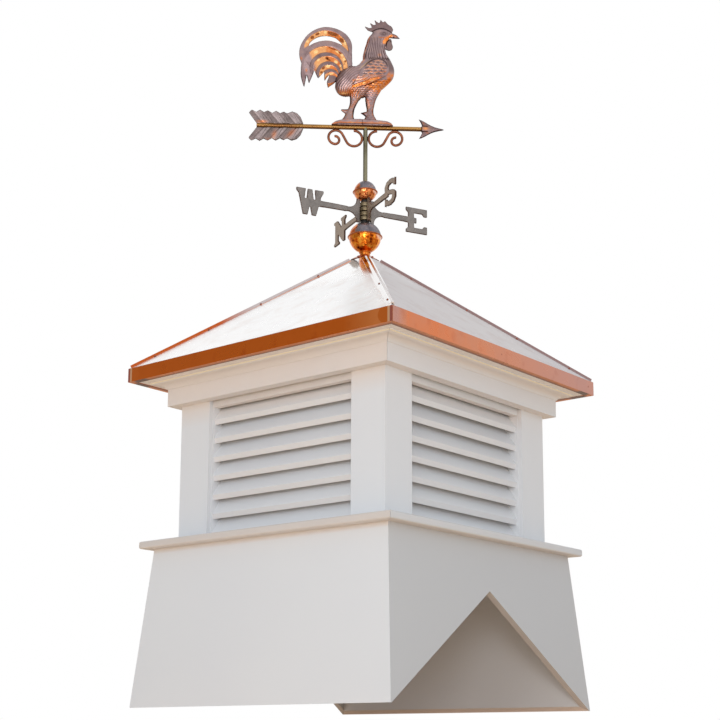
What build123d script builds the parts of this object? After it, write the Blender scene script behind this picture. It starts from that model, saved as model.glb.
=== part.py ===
"""Barn cupola: a flared white base cut to sit over a roof ridge, a louvred vent section,
a crown moulding under a copper hip roof, and a rooster weathervane that turns on its spindle.

Millimetres. +Z is up, the origin is under the centre of the cupola at the foot of its walls.
The front is -Y, the right side +X. The ridge that the cupola straddles runs along X.
"""

from build123d import *
from math import asin, atan2, cos, degrees, hypot, radians, sin, sqrt
import os

# Corner posts and the boards planted on them
post_half = 352.0
post_face = 106.0
post_board = 19.0
post_height = 371.0
frieze_thick = 28.0
frieze_height = 47.0
crown_height = 19.0
crown_reach = 36.0
mitre_gap = 0.4
seat_clearance = 0.2

# Flared base, cut over the roof ridge
base_step = 44.5
base_flare = 36.5
base_height = 417.0
base_board = 19.0
ridge_pitch = 8.0 / 12.0
foot_land = 3.0

# Sill boards between the base and the louvred section
sill_lip = 29.0
sill_thick = 20.0
sill_round = 5.0
sill_inset = 3.0

# Louvred panels
stile_face = 10.0
stile_back = 18.5
frame_setback = 1.0
frame_depth = 87.0
head_drop = 14.0
rail_board = 19.0
slat_count = 7
slat_pitch = 51.0
slat_thick = 18.0
slat_length = 64.0
slat_angle = 45.0
slat_recess = 6.5
slat_lift = 2.0
dado_depth = 6.0
dado_clearance = 0.2

# Eave frame, roof deck and copper covering
eave_reach = 41.0
soffit_thick = 12.0
eave_board = 19.0
fascia_height = 38.0
copper = 1.0
lip_width = 20.0
roof_rise = 357.0
deck_thick = 12.0
deck_opening = 30.0
cap_half = 11.0
cap_bead_half = 4.0
cap_bead_height = 4.0
cap_sheet = 1.2
cap_setback = 5.0
cap_end_gap = 18.0

# Spindle, its block under the peak, the collar over the peak and the two copper balls
spindle_radius = 8.0
pivot_radius = 4.75
running_clearance = 0.05
slip_clearance = 0.1
block_half = 60.0
block_height = 90.0
collar_radius = 14.5
collar_roll = 2.2
peak_cap_half = 29.0
ball_radius = 42.5
ball_rim = 5.8
ball_rise = 46.0
small_ball_radius = 28.3
small_ball_rim = 5.2
collar_bite = 2.0
rim_thick = 2.0
ball_collar_wall = 4.0
ball_collar_height = 3.5

# Compass letters on arms
letter_thick = 5.0
letter_height = 76.0
letter_inner = 129.0
letter_bite = 20.0
letter_round = 1.5
knuckle_wall = 3.0
knuckle_height = 12.0
knuckle_chamfer = 1.4
knuckle_gap = 6.0
plate_inner = 16.5
plate_outer = 27.0
plate_height = 70.0
arm_half_height = 8.0
arm_root = 60.0
compass_azimuth = 64.5

# Turning vane: tube, arrow, scrolls and rooster
vane_azimuth = 42.3
tube_radius = 6.35
tube_foot_gap = 0.6
arrow_rise = 166.4
shaft_radius = 6.35
shaft_tail = 311.0
shaft_nose = 160.0
arrow_tip = 228.0
point_half_height = 32.0
point_half_thick = 7.0
fletch_thick = 3.0
fletch_relief = 1.6
scroll_radius = 3.0
loop_radius = 23.5
eye_radius = 21.0
tip_radius = 12.0
scroll_span = 51.5
eye_turn = 75.0
tip_turn = 200.0
rooster_height = 336.0
mound_half_thick = 12.0
mound_round = 6.0
comb_thick = 5.0
tail_thick = 3.0
tail_relief = 2.5

# Plan sizes and levels worked out from the sizes above
base_top_half = post_half + base_step
base_foot_half = base_top_half + base_flare
sill_half = base_top_half + sill_lip
frieze_half = post_half + frieze_thick
eave_half = frieze_half + crown_reach + eave_reach
sill_bottom = base_height
sill_top = sill_bottom + sill_thick
frieze_bottom = sill_top + post_height
frieze_top = frieze_bottom + frieze_height
soffit_bottom = frieze_top + crown_height
soffit_top = soffit_bottom + soffit_thick
fascia_bottom = soffit_bottom - seat_clearance - copper
fascia_top = fascia_bottom + fascia_height
peak = fascia_top + roof_rise
roof_slope = roof_rise / eave_half
roof_angle = degrees(atan2(roof_rise, eave_half))
post_inner = post_half - post_board
frame_front = post_half - frame_setback
frame_inner = post_half - frame_depth
opening_half = post_half - post_face
stile_inner = opening_half - stile_face
ridge_height = ridge_pitch * (base_foot_half - foot_land)
ball_centre = peak + ball_rise
knuckle_bottom = ball_centre + ball_radius + ball_collar_height + knuckle_gap
compass_level = knuckle_bottom + 2 * knuckle_height
small_ball_centre = compass_level + 2 * knuckle_height + knuckle_gap + small_ball_radius
tube_foot = small_ball_centre + small_ball_radius + tube_foot_gap
arrow_level = tube_foot + arrow_rise
knuckle_outer = spindle_radius + slip_clearance + knuckle_wall

SIDES = {"front": 0, "right": 90, "back": 180, "left": 270}
FAR = 1200.0
ABOVE = 2500.0

os.makedirs("parts", exist_ok=True)
for old in os.listdir("parts"):
    if old.endswith(".step"):
        os.remove(os.path.join("parts", old))


def save(name, shape):
    """Writes one node; a shape of several pieces is written as one compound."""
    solids = shape.solids()
    body = solids[0] if len(solids) == 1 else Compound(children=list(solids))
    body.label = name
    export_step(body, f"parts/{name}.step")


def outline(points):
    """A closed straight-sided face from (x, y) corners."""
    return make_face(Polyline(*points, close=True))


def frustum(half_low, z_low, half_high, z_high):
    """A square tapering block between two levels."""
    low = Plane.XY.offset(z_low) * Rectangle(2 * half_low, 2 * half_low)
    high = Plane.XY.offset(z_high) * Rectangle(2 * half_high, 2 * half_high)
    return loft([low.face(), high.face()], ruled=True)


def quarter(gap=0.0):
    """The front quarter of the plan, between its two diagonals, set in by a mitre gap."""
    corners = [(0, -gap), (FAR, -FAR - gap), (-FAR, -FAR - gap)]
    return extrude(outline(corners), amount=ABOVE)


def mitred(profile, gap=0.0):
    """A moulding along the front, from its section in (outward, height), mitred at both ends."""
    section_plane = Plane(origin=(FAR, 0, 0), x_dir=(0, -1, 0), z_dir=(-1, 0, 0))
    return extrude(section_plane * profile, amount=2 * FAR) & quarter(gap)


def turned(shape, side):
    return Rot(0, 0, SIDES[side]) * shape


def all_round(shape):
    """The four sides' copies of a front piece, kept as separate solids."""
    pieces = [solid for side in SIDES for solid in turned(shape, side).solids()]
    return Compound(children=pieces)


def box_between(low, high):
    size = [b - a for a, b in zip(low, high)]
    middle = [(a + b) / 2 for a, b in zip(low, high)]
    return Pos(*middle) * Box(*size)


def upright(face, thick):
    """A flat plate in the XZ plane, centred on it."""
    return extrude(Plane.XZ * face, amount=thick / 2, both=True)


# Base walls: a flared box, cut underneath by the two slopes of the roof it stands on
flare = (base_foot_half - base_top_half) / base_height
board_level = base_board * sqrt(1 + flare**2)
base_shell = frustum(base_foot_half, 0, base_top_half, base_height) - frustum(
    base_foot_half - board_level, 0, base_top_half - board_level, base_height
)
ridge_section = [
    (-FAR, ridge_height - ridge_pitch * FAR),
    (0, ridge_height),
    (FAR, ridge_height - ridge_pitch * FAR),
]
house_ridge = extrude(Plane.YZ * outline(ridge_section), amount=FAR, both=True)
base_shell = base_shell - house_ridge
for side in SIDES:
    save(f"base_{side}", base_shell & turned(quarter(), side))

# Sill boards with a rounded nose
sill_inner = frame_inner - sill_inset
sill_section = Pos((sill_inner + sill_half) / 2, sill_bottom + sill_thick / 2) * Rectangle(
    sill_half - sill_inner, sill_thick
)
sill_nose = sill_section.vertices().group_by(Axis.X)[-1]
sill_section = fillet(sill_nose, sill_round)
save("sill_boards", all_round(mitred(sill_section, mitre_gap)))


# Corner posts, each an angle of two boards that runs up behind the frieze
def corner_post():
    outer = box_between((opening_half, -post_half, sill_top), (post_half, -opening_half, soffit_bottom))
    inner = box_between((0, -post_inner, 0), (post_inner, 0, ABOVE))
    return outer - inner


POSTS = {"front_right": 0, "back_right": 90, "back_left": 180, "front_left": 270}
for place, angle in POSTS.items():
    save(f"corner_post_{place}", Rot(0, 0, angle) * corner_post())


# Louvred panels: rebated stiles dadoed for the slats, a head rail in front and a foot rail behind
def slat_section(grow=0.0):
    """One slat's section in (outward, height), its lower front corner at the origin."""
    slat = Pos(-slat_length / 2, slat_thick / 2) * Rectangle(
        slat_length + 2 * grow, slat_thick + 2 * grow
    )
    return Rot(0, 0, -slat_angle) * slat


slat_nose = post_half - slat_recess - slat_thick * sin(radians(slat_angle))
slat_levels = [sill_top + slat_lift + slat_pitch * n for n in range(slat_count)]
section_side = Plane(origin=(0, 0, 0), x_dir=(0, -1, 0), z_dir=(-1, 0, 0))


def slat_row(half_length, grow=0.0):
    """All the slats of the front panel, in a given length and thickness."""
    rows = []
    for level in slat_levels:
        face = Pos(slat_nose, level) * slat_section(grow)
        rows.append(extrude(section_side * face, amount=half_length, both=True))
    return rows


def louvre_frame():
    stile_edge = opening_half - seat_clearance
    stile_outer = opening_half + stile_back
    stile = box_between((stile_inner, -frame_front, sill_top), (stile_edge, -post_inner, soffit_bottom))
    stile = stile + box_between(
        (stile_inner, -post_inner, sill_top), (stile_outer, -frame_inner, soffit_bottom)
    )
    for slat in slat_row(stile_inner + dado_depth, dado_clearance):
        stile = stile - slat
    rail_half = stile_inner - seat_clearance
    head = box_between(
        (-rail_half, -frame_front, frieze_bottom - head_drop),
        (rail_half, -frame_front + rail_board, soffit_bottom),
    )
    foot = box_between(
        (-rail_half, -frame_inner - rail_board, sill_top),
        (rail_half, -frame_inner, sill_top + rail_board),
    )
    return Compound(children=[stile.solid(), mirror(stile, about=Plane.YZ).solid(), head, foot])


frame_piece = louvre_frame()
slat_half_length = stile_inner + dado_depth - dado_clearance
slat_pieces = Compound(children=[slat.solid() for slat in slat_row(slat_half_length)])
for side in SIDES:
    save(f"louvre_frame_{side}", turned(frame_piece, side))
    save(f"louvre_slats_{side}", turned(slat_pieces, side))

# Frieze boards planted on the posts
frieze_section = Pos((post_half + frieze_half) / 2, (frieze_bottom + soffit_bottom) / 2) * Rectangle(
    frieze_thick, soffit_bottom - frieze_bottom
)
save("frieze_boards", all_round(mitred(frieze_section, mitre_gap)))

# Crown moulding: a cove under a bead and a flat fillet
cove_reach = crown_reach * 0.72
cove_height = crown_height * 0.62
bead_height = crown_height * 0.84
crown_outline = (
    Line((0, 0), (2, 0))
    + ThreePointArc((2, 0), (cove_reach * 0.36, cove_height * 0.72), (cove_reach, cove_height))
    + ThreePointArc(
        (cove_reach, cove_height),
        ((cove_reach + crown_reach) / 2 + 1, (cove_height + bead_height) / 2 - 1),
        (crown_reach, bead_height),
    )
    + Polyline((crown_reach, bead_height), (crown_reach, crown_height), (0, crown_height), (0, 0))
)
crown_section = Pos(frieze_half, frieze_top) * make_face(crown_outline)
save("crown_moulding", all_round(mitred(crown_section, mitre_gap)))

# Eaves: the soffit boards, and the upright boards that the copper fascia covers
sheathing_half = eave_half - copper
deck_drop = deck_thick / cos(radians(roof_angle))
copper_drop = copper / cos(radians(roof_angle))
under_deck = copper_drop + deck_drop


def roof_height(half, drop=0.0):
    """Height of the roof's surface, or of a layer below it, at a distance from the centre."""
    return peak - roof_slope * half - drop


soffit_section = Pos((frame_inner + sheathing_half) / 2, soffit_bottom + soffit_thick / 2) * Rectangle(
    sheathing_half - frame_inner, soffit_thick
)
save("soffit_boards", all_round(mitred(soffit_section, mitre_gap)))

eave_section = outline(
    [
        (sheathing_half, soffit_top),
        (sheathing_half, roof_height(sheathing_half, under_deck)),
        (sheathing_half - eave_board, roof_height(sheathing_half - eave_board, under_deck)),
        (sheathing_half - eave_board, soffit_top),
    ]
)
save("eave_boards", all_round(mitred(eave_section, mitre_gap)))

# Deck panels under the copper, open at the peak for the spindle's block
deck_section = outline(
    [
        (sheathing_half, roof_height(sheathing_half, copper_drop)),
        (deck_opening, roof_height(deck_opening, copper_drop)),
        (deck_opening, roof_height(deck_opening, under_deck)),
        (sheathing_half, roof_height(sheathing_half, under_deck)),
    ]
)
save("roof_deck", all_round(mitred(deck_section, mitre_gap)))

# Copper roof panels, one to a side, open at the peak where the spindle comes through
panel_opening = spindle_radius + slip_clearance
panel_section = outline(
    [
        (sheathing_half, roof_height(sheathing_half)),
        (panel_opening, roof_height(panel_opening)),
        (panel_opening, roof_height(panel_opening, copper_drop)),
        (sheathing_half, roof_height(sheathing_half, copper_drop)),
    ]
)
for side in SIDES:
    save(f"roof_panel_{side}", turned(mitred(panel_section), side))

# Copper fascia: a folded strip with a lip turned in under the soffit
fascia_section = outline(
    [
        (eave_half - lip_width, fascia_bottom),
        (eave_half, fascia_bottom),
        (eave_half, fascia_top),
        (sheathing_half, fascia_top),
        (sheathing_half, fascia_bottom + copper),
        (eave_half - lip_width, fascia_bottom + copper),
    ]
)
save("copper_fascia", all_round(mitred(fascia_section, mitre_gap)))


# Hip caps: folded strips with a raised bead, laid over the joints of the panels
def hip_cap():
    hip = Vector(-eave_half, eave_half, roof_rise).normalized()
    across = Vector(-1, -1, 0).normalized()
    panel_normal = Vector(0, -sin(radians(roof_angle)), cos(radians(roof_angle)))
    fall_line = panel_normal.cross(hip).normalized()
    above = hip.cross(across)
    fall = abs(fall_line.dot(above) / fall_line.dot(across))
    bead_foot = cap_sheet - cap_bead_half * fall
    section = [
        (-cap_half, -cap_half * fall),
        (0, 0),
        (cap_half, -cap_half * fall),
        (cap_half, cap_sheet - cap_half * fall),
        (cap_bead_half, bead_foot),
        (cap_bead_half * 0.6, cap_bead_height),
        (-cap_bead_half * 0.6, cap_bead_height),
        (-cap_bead_half, bead_foot),
        (-cap_half, cap_sheet - cap_half * fall),
    ]
    start = eave_half - cap_setback
    finish = (collar_radius + cap_half + cap_end_gap) / sqrt(2)
    length = (start - finish) * sqrt(2 + roof_slope**2)
    origin = Vector(start, -start, roof_height(start))
    strip = extrude(Plane(origin=origin, x_dir=across, z_dir=hip) * outline(section), amount=length)
    return strip & box_between((-eave_half, -eave_half, 0), (eave_half, eave_half, ABOVE))


save("hip_caps", all_round(hip_cap()))


# Collar over the peak: a short tube with a rolled ring, on a folded cap between the hip caps' ends
def collar():
    collar_bore = collar_radius - copper
    top = ball_centre - sqrt(ball_radius**2 - collar_bore**2) - seat_clearance
    lift = seat_clearance / cos(radians(roof_angle))
    foot = roof_height(peak_cap_half)
    under_half = peak_cap_half + copper
    under_cap = frustum(under_half, roof_height(under_half) + lift, copper, roof_height(copper) + lift)
    cap = Pos(0, 0, copper_drop + lift) * frustum(peak_cap_half, foot, copper, roof_height(copper))
    tube = Pos(0, 0, foot) * extrude(Circle(collar_radius), top - foot)
    ring = Pos(0, 0, peak - collar_roll) * extrude(Circle(collar_radius + collar_roll), 2 * collar_roll)
    ring = chamfer(ring.edges().filter_by(GeomType.CIRCLE), collar_roll * 0.6)
    bore = Pos(0, 0, foot) * extrude(Circle(collar_bore), top)
    return cap + tube + ring - under_cap - bore


save("peak_collar", collar())

# Block under the peak that holds the spindle's foot
block_top = roof_height(block_half, under_deck) - seat_clearance
spindle_foot = block_top - block_height
peak_block = box_between((-block_half, -block_half, spindle_foot), (block_half, block_half, block_top))
block_tip = roof_height(deck_opening, under_deck) - seat_clearance
block_point = frustum(block_half, block_top, deck_opening, block_tip)
spindle_bore = Pos(0, 0, spindle_foot) * extrude(Circle(spindle_radius + slip_clearance), ABOVE)
save("peak_block", peak_block + block_point - spindle_bore)

# Spindle: a rod that carries the balls and letters, stepped down to the pivot for the vane
pivot_top = arrow_level - shaft_radius - 6.0
spindle = Pos(0, 0, spindle_foot) * extrude(Circle(spindle_radius), small_ball_centre - spindle_foot)
pivot = Pos(0, 0, small_ball_centre) * extrude(Circle(pivot_radius), pivot_top - small_ball_centre)
save("spindle", spindle + pivot)


# Copper balls: two spun halves joined at a rim, closed round the spindle
def ball(radius, rim, bore_low, bore_high, with_collar):
    rim_disc = extrude(Circle(radius + rim), rim_thick / 2, both=True)
    piece = Sphere(radius) + chamfer(rim_disc.edges().filter_by(GeomType.CIRCLE), rim_thick * 0.3)
    if with_collar:
        collar_tube = Circle(bore_high + ball_collar_wall) - Circle(bore_high)
        collar_foot = Pos(0, 0, radius - collar_bite)
        piece = piece + collar_foot * extrude(collar_tube, ball_collar_height + collar_bite)
    piece = piece - Pos(0, 0, -radius) * extrude(Circle(bore_low), radius)
    return piece - extrude(Circle(bore_high), 2 * radius)


slip_radius = spindle_radius + slip_clearance
large_ball = ball(ball_radius, ball_rim, slip_radius, slip_radius, True)
save("large_ball", Pos(0, 0, ball_centre) * large_ball)
small_ball = ball(small_ball_radius, small_ball_rim, slip_radius, pivot_radius + slip_clearance, False)
save("small_ball", Pos(0, 0, small_ball_centre) * small_ball)


# Compass letters, drawn as they read, with slab serifs
W_LETTER = [
    (-41, 30), (-41, 38), (-13, 38), (-16, 9), (-10, 9), (-7, 38), (7, 38), (11, 9), (17, 9),
    (15, 38), (41, 38), (41, 31), (34, 18), (19, -38), (6, -38), (0, -7), (-7, -38), (-21, -38),
    (-34, 22),
]
E_LETTER = [
    (-34, 38), (34, 38), (34, 15), (24, 15), (19, 22), (-8, 22), (-8, 8), (0, 8), (0, -8),
    (-8, -8), (-8, -22), (19, -22), (24, -15), (34, -15), (34, -38), (-34, -38), (-34, -29),
    (-27, -22), (-27, 22), (-34, 29),
]
N_LETTER = [
    (-41, 38), (-18, 38), (13, 6), (13, 26), (7, 30), (7, 38), (41, 38), (41, 30), (33, 26),
    (33, -38), (20, -38), (-13, -5), (-13, -26), (-6, -30), (-6, -38), (-41, -38), (-41, -30),
    (-33, -26), (-33, 26), (-41, 30),
]
S_HALF = [
    (33, 36), (33, 12), (24, 12), (17, 20), (4, 24), (-10, 22), (-14, 15), (-8, 9), (20, 2),
    (33, -8), (34, -24), (22, -36), (0, -39), (-20, -36), (-26, -32),
]
S_LETTER = S_HALF + [(-x, -y) for x, y in S_HALF]


def compass_letter(corners, way, knuckle_index, azimuth):
    """One letter with its arm, hub plate and knuckle, out along +X (way 1) or -X (way -1)."""
    letter = outline(corners)
    letter = scale(letter, by=letter_height / letter.bounding_box().size.Y)
    letter = fillet(letter.vertices(), letter_round)
    centre = way * (letter_inner + letter.bounding_box().size.X / 2)
    join = letter_inner + letter_bite
    tall = plate_height / 2
    bend = plate_outer + (arm_root - plate_outer) * 0.2
    swell = arm_half_height * 1.9
    upper = [(plate_outer * way, tall), (bend * way, swell), (arm_root * way, arm_half_height)]
    lower = [(x, -z) for x, z in reversed(upper)]
    arm_outline = (
        Line((plate_inner * way, tall), upper[0])
        + ThreePointArc(*upper)
        + Line(upper[2], (join * way, arm_half_height * 1.1))
        + Line((join * way, arm_half_height * 1.1), (join * way, -arm_half_height * 1.1))
        + Line((join * way, -arm_half_height * 1.1), lower[0])
        + ThreePointArc(*lower)
        + Line(lower[2], (plate_inner * way, -tall))
        + Line((plate_inner * way, -tall), (plate_inner * way, tall))
    )
    plate = upright(make_face(arm_outline) + Pos(centre, 0) * letter, letter_thick)
    lift = (knuckle_index - 2) * knuckle_height
    web = box_between(
        (knuckle_outer - 1, -letter_thick / 2, lift),
        (plate_inner + 1, letter_thick / 2, lift + knuckle_height),
    )
    barrel = extrude(Circle(knuckle_outer), knuckle_height)
    barrel = chamfer(barrel.edges().filter_by(GeomType.CIRCLE), knuckle_chamfer)
    ring = Pos(0, 0, lift) * (barrel - extrude(Circle(slip_radius), knuckle_height))
    if way < 0:
        web = mirror(web, about=Plane.YZ)
    return Pos(0, 0, compass_level) * (Rot(0, 0, azimuth) * (plate + web + ring))


save("letter_north", compass_letter(N_LETTER, -1, 0, compass_azimuth - 90))
save("letter_south", compass_letter(S_LETTER, 1, 1, compass_azimuth - 90))
save("letter_east", compass_letter(E_LETTER, 1, 2, compass_azimuth))
save("letter_west", compass_letter(W_LETTER, -1, 3, compass_azimuth))


# The turning vane is modelled with its arrow along +X and its pivot on Z, at its own level
def vane(shape):
    return Pos(0, 0, arrow_level) * (Rot(0, 0, vane_azimuth) * shape)


along_x = Plane(origin=(0, 0, 0), x_dir=(0, 1, 0), z_dir=(1, 0, 0))
shaft_space = along_x.offset(-shaft_tail) * Circle(shaft_radius)
shaft = extrude(shaft_space, amount=shaft_tail + shaft_nose)
save("arrow_shaft", vane(shaft))

# Vane tube, closed at the top under the shaft and running on the pivot
tube_length = arrow_level - tube_foot
bore_depth = pivot_top + seat_clearance - tube_foot
tube = Pos(0, 0, -tube_length) * extrude(Circle(tube_radius), tube_length)
tube_bore = Pos(0, 0, -tube_length) * extrude(Circle(pivot_radius + running_clearance), bore_depth)
save("vane_tube", vane(tube - tube_bore - shaft))

# Arrow point: a ridged head with swept barbs
ridge_reach = point_half_height + 6
diamond = [(0, ridge_reach), (point_half_thick, 0), (0, -ridge_reach), (-point_half_thick, 0)]
point_back = along_x.offset(shaft_nose - 4.0) * outline(diamond)
point_front = along_x.offset(arrow_tip) * outline([(x * 0.12, y * 0.12) for x, y in diamond])
point_block = loft([point_back.face(), point_front.face()], ruled=True)
barb = (shaft_nose - 3.0, point_half_height)
point_root = shaft_radius + seat_clearance
point_outline = (
    Line((shaft_nose, point_root), barb)
    + ThreePointArc(barb, (shaft_nose + 26, 12), (arrow_tip, 0))
    + ThreePointArc((arrow_tip, 0), (shaft_nose + 26, -12), (barb[0], -barb[1]))
    + Line((barb[0], -barb[1]), (shaft_nose, -point_root))
    + Line((shaft_nose, -point_root), (shaft_nose, point_root))
)
save("arrow_point", vane(point_block & upright(make_face(point_outline), 4 * point_half_thick)))

# Arrow feathers: two vanes with a scalloped edge and raised barbs, either side of the shaft
feather_tips = [(-325, 47), (-302, 47), (-279, 46), (-256, 45), (-234, 43)]
feather_notches = [(-313, 40), (-290, 39), (-267, 38), (-244, 37), (-223, 38)]
upper_edge = [(-311, 0), (-311, 7), (-333, 38)]
for tip, notch in zip(feather_tips, feather_notches):
    upper_edge += [tip, notch]
upper_edge += [(-210, 44), (-196, 38), (-186, 27), (-178, 8), (-177, 0)]
feather_half = outline(upper_edge)
feather_sheet = upright(feather_half, fletch_thick)
for tip in feather_tips[1::2] + [(-210, 44)]:
    barb_strip = outline([(tip[0] - 10, 60), (tip[0] + 8, 60), (tip[0] + 42, 0), (tip[0] + 24, 0)])
    feather_sheet = feather_sheet + upright(barb_strip & feather_half, fletch_thick + 2 * fletch_relief)
feathers = feather_sheet + mirror(feather_sheet, about=Plane.XY)
save("arrow_feathers", vane(feathers - shaft))

# Scroll brackets bent from rod, touching the tube and the shaft
near_tube = tube_radius + scroll_radius + seat_clearance
under_shaft = -shaft_radius - scroll_radius - seat_clearance
loop_centre = (near_tube + loop_radius, under_shaft - loop_radius)
eye_centre = (loop_centre[0] + scroll_span, under_shaft - eye_radius)
centres_apart = hypot(scroll_span, loop_radius - eye_radius)
crossing = degrees(atan2(loop_radius - eye_radius, scroll_span))
crossing += degrees(asin((loop_radius + eye_radius) / centres_apart))
tip_offset = eye_radius - tip_radius
tip_x = eye_centre[0] + tip_offset * cos(radians(eye_turn))
tip_z = eye_centre[1] - tip_offset * sin(radians(eye_turn))
loop_arc = CenterArc(loop_centre, loop_radius, 90, 180 + crossing)
eye_arc = CenterArc(eye_centre, eye_radius, crossing + 90, -(crossing + 90 + eye_turn))
tip_arc = CenterArc((tip_x, tip_z), tip_radius, -eye_turn, -tip_turn)
scroll_wire = Plane.XZ * Wire([loop_arc, Line(loop_arc @ 1, eye_arc @ 0), eye_arc, tip_arc])
scroll_end = Plane(origin=scroll_wire @ 0, z_dir=scroll_wire % 0)
scroll = sweep(scroll_end * Circle(scroll_radius), path=scroll_wire)
save("scroll_fore", vane(scroll))
save("scroll_aft", vane(mirror(scroll, about=Plane.YZ)))

# The rooster is drawn from the arrow's centre line up to its comb, then brought to its height
COMB = [
    (22, 296), (5, 303), (-2, 314), (9, 310), (18, 311), (13, 325), (22, 320), (29, 321),
    (26, 335), (36, 327), (40, 327), (43, 336), (50, 329), (56, 333), (64, 323), (73, 316),
    (79, 306), (75, 294), (50, 290), (30, 285),
]
drawn_height = max(z for x, z in COMB)


def bird(shape):
    return scale(shape, by=rooster_height / drawn_height)


# Mound that the rooster stands on, saddled over the shaft
mound_outline = [(-98, 4), (-86, 14), (-58, 22), (34, 20), (62, 15), (79, 4)]
mound_block = upright(outline(mound_outline), 2 * mound_half_thick)
mound = fillet(mound_block.edges().filter_by(Axis.Y).sort_by(Axis.Z)[-4:], mound_round)
save("rooster_mound", vane(bird(mound) - shaft))


# Rooster: oval sections along a line from the rump, through the breast, up the neck to the head
def oval(x, z, lean, half_wide, half_thick):
    """An oval section of the bird, square to a line that leans up from +X."""
    tangent = (cos(radians(lean)), 0, sin(radians(lean)))
    width = (-sin(radians(lean)), 0, cos(radians(lean)))
    return (Plane(origin=(x, 0, z), x_dir=width, z_dir=tangent) * Ellipse(half_wide, half_thick)).face()


head_joint = oval(32, 262, 82, 28, 13)
trunk = loft(
    [
        oval(-85, 137, 0, 13, 8),
        oval(-72, 138, 0, 33, 18),
        oval(-48, 139, 2, 44, 25),
        oval(-14, 146, 10, 47, 28),
        oval(18, 161, 34, 51, 28),
        oval(34, 185, 62, 46, 25),
        oval(34, 212, 86, 38, 20),
        oval(29, 239, 95, 29, 15),
        head_joint,
    ]
)
head = loft([head_joint, oval(42, 283, 66, 28, 12), oval(53, 298, 52, 19, 9), oval(60, 305, 48, 7, 4)])
fore_leg = loft(
    [
        oval(22, 130, 90, 25, 17),
        oval(17, 98, 90, 18, 12),
        oval(15, 80, 90, 13, 8.5),
        oval(16, 62, 90, 9.5, 6.5),
        oval(15, 44, 90, 10, 6.5),
        oval(14, 16, 90, 14, 8),
    ]
)
hind_leg = loft(
    [
        oval(-22, 130, 90, 24, 17),
        oval(-30, 96, 90, 16, 12),
        oval(-33, 80, 90, 12, 8.5),
        oval(-39, 62, 90, 9.5, 6.5),
        oval(-46, 44, 90, 10.5, 6.5),
        oval(-46, 16, 90, 15, 8),
    ]
)
beak = loft([oval(68, 290, -20, 10, 6), oval(86, 284, -22, 4.5, 3.5), oval(99, 279, -22, 1, 1)])
comb = upright(outline(COMB), comb_thick)
wattle = upright(Pos(68, 256) * Ellipse(11, 17), comb_thick + 2)
fore_spur = loft([oval(6, 41, 168, 9, 5), oval(-12, 45, 168, 1.5, 1.2)])
hind_spur = loft([oval(-50, 47, 155, 10, 5), oval(-69, 54, 155, 1.5, 1.2)])
rooster = trunk + head + fore_leg + hind_leg + beak + comb + wattle + fore_spur + hind_spur
save("rooster_body", vane(bird(rooster - mound_block)))

# Rooster's tail: a sheet of sickle feathers, each with a raised rim
tail_edge = Spline(
    (-50, 184), (-38, 205), (-36, 247), (-57, 288), (-93, 306), (-135, 304), (-172, 278),
    (-192, 234), (-187, 185), (-184, 150), (-177, 122),
)
tail_tips = Polyline(
    (-177, 122), (-170, 162), (-163, 134), (-148, 173), (-137, 150), (-119, 171), (-118, 142),
    (-103, 164), (-107, 121), (-84, 142), (-50, 184),
)
tail_face = make_face(tail_edge + tail_tips)
window = make_face(
    ThreePointArc((-169, 245), (-116, 281), (-66, 252)) + ThreePointArc((-66, 252), (-114, 266), (-169, 245))
)
tail_face = tail_face - window


def feather_rim(start, finish, outer, inner):
    """A crescent between two arcs that share their ends."""
    return make_face(ThreePointArc(start, outer, finish) + ThreePointArc(finish, inner, start))


rims = (
    feather_rim((-40, 205), (-188, 175), (-113, 307), (-113, 296))
    + feather_rim((-47, 200), (-172, 180), (-112, 264), (-112, 250))
    + feather_rim((-52, 194), (-155, 172), (-111, 231), (-111, 219))
    + feather_rim((-58, 188), (-132, 164), (-108, 203), (-108, 190))
)
tail = upright(tail_face, tail_thick) + upright(rims & tail_face, tail_thick + 2 * tail_relief)
save("rooster_tail", vane(bird(tail - trunk)))
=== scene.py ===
# %% [markdown]
# # A barn cupola with a rooster weathervane
# The cupola is a white vent house that stands over a roof ridge: flared walls, a sill, louvres between
# corner posts, a crown moulding, a copper hip roof, and a weathervane that turns above it. Its real size
# and every main solid come from the construction model. This lesson gives each of them its finish and
# models the small things that the eye looks for: rivets, laps and feathers.

# %% Load the construction model
from math import cos, pi, radians, sin

import bpy
import numpy as np
from mathutils import Matrix, Vector


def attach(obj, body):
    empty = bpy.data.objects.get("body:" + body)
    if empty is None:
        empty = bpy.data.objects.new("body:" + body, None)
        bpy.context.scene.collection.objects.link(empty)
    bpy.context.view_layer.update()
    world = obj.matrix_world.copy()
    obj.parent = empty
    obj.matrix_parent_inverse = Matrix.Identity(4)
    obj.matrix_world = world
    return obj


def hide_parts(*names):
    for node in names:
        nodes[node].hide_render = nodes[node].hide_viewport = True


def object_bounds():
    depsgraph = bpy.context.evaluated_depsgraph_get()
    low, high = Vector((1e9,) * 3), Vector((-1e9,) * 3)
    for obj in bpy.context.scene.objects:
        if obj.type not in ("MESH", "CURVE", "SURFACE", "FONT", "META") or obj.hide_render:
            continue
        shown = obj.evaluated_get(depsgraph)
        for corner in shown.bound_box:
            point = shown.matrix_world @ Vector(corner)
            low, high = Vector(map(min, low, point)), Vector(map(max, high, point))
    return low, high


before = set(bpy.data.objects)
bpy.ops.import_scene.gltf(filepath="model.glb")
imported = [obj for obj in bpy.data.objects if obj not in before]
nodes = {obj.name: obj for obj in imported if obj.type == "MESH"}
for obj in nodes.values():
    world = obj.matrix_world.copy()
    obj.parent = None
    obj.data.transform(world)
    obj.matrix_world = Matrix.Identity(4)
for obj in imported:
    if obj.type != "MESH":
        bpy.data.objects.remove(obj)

cad_box = [list(corner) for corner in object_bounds()]
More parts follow.
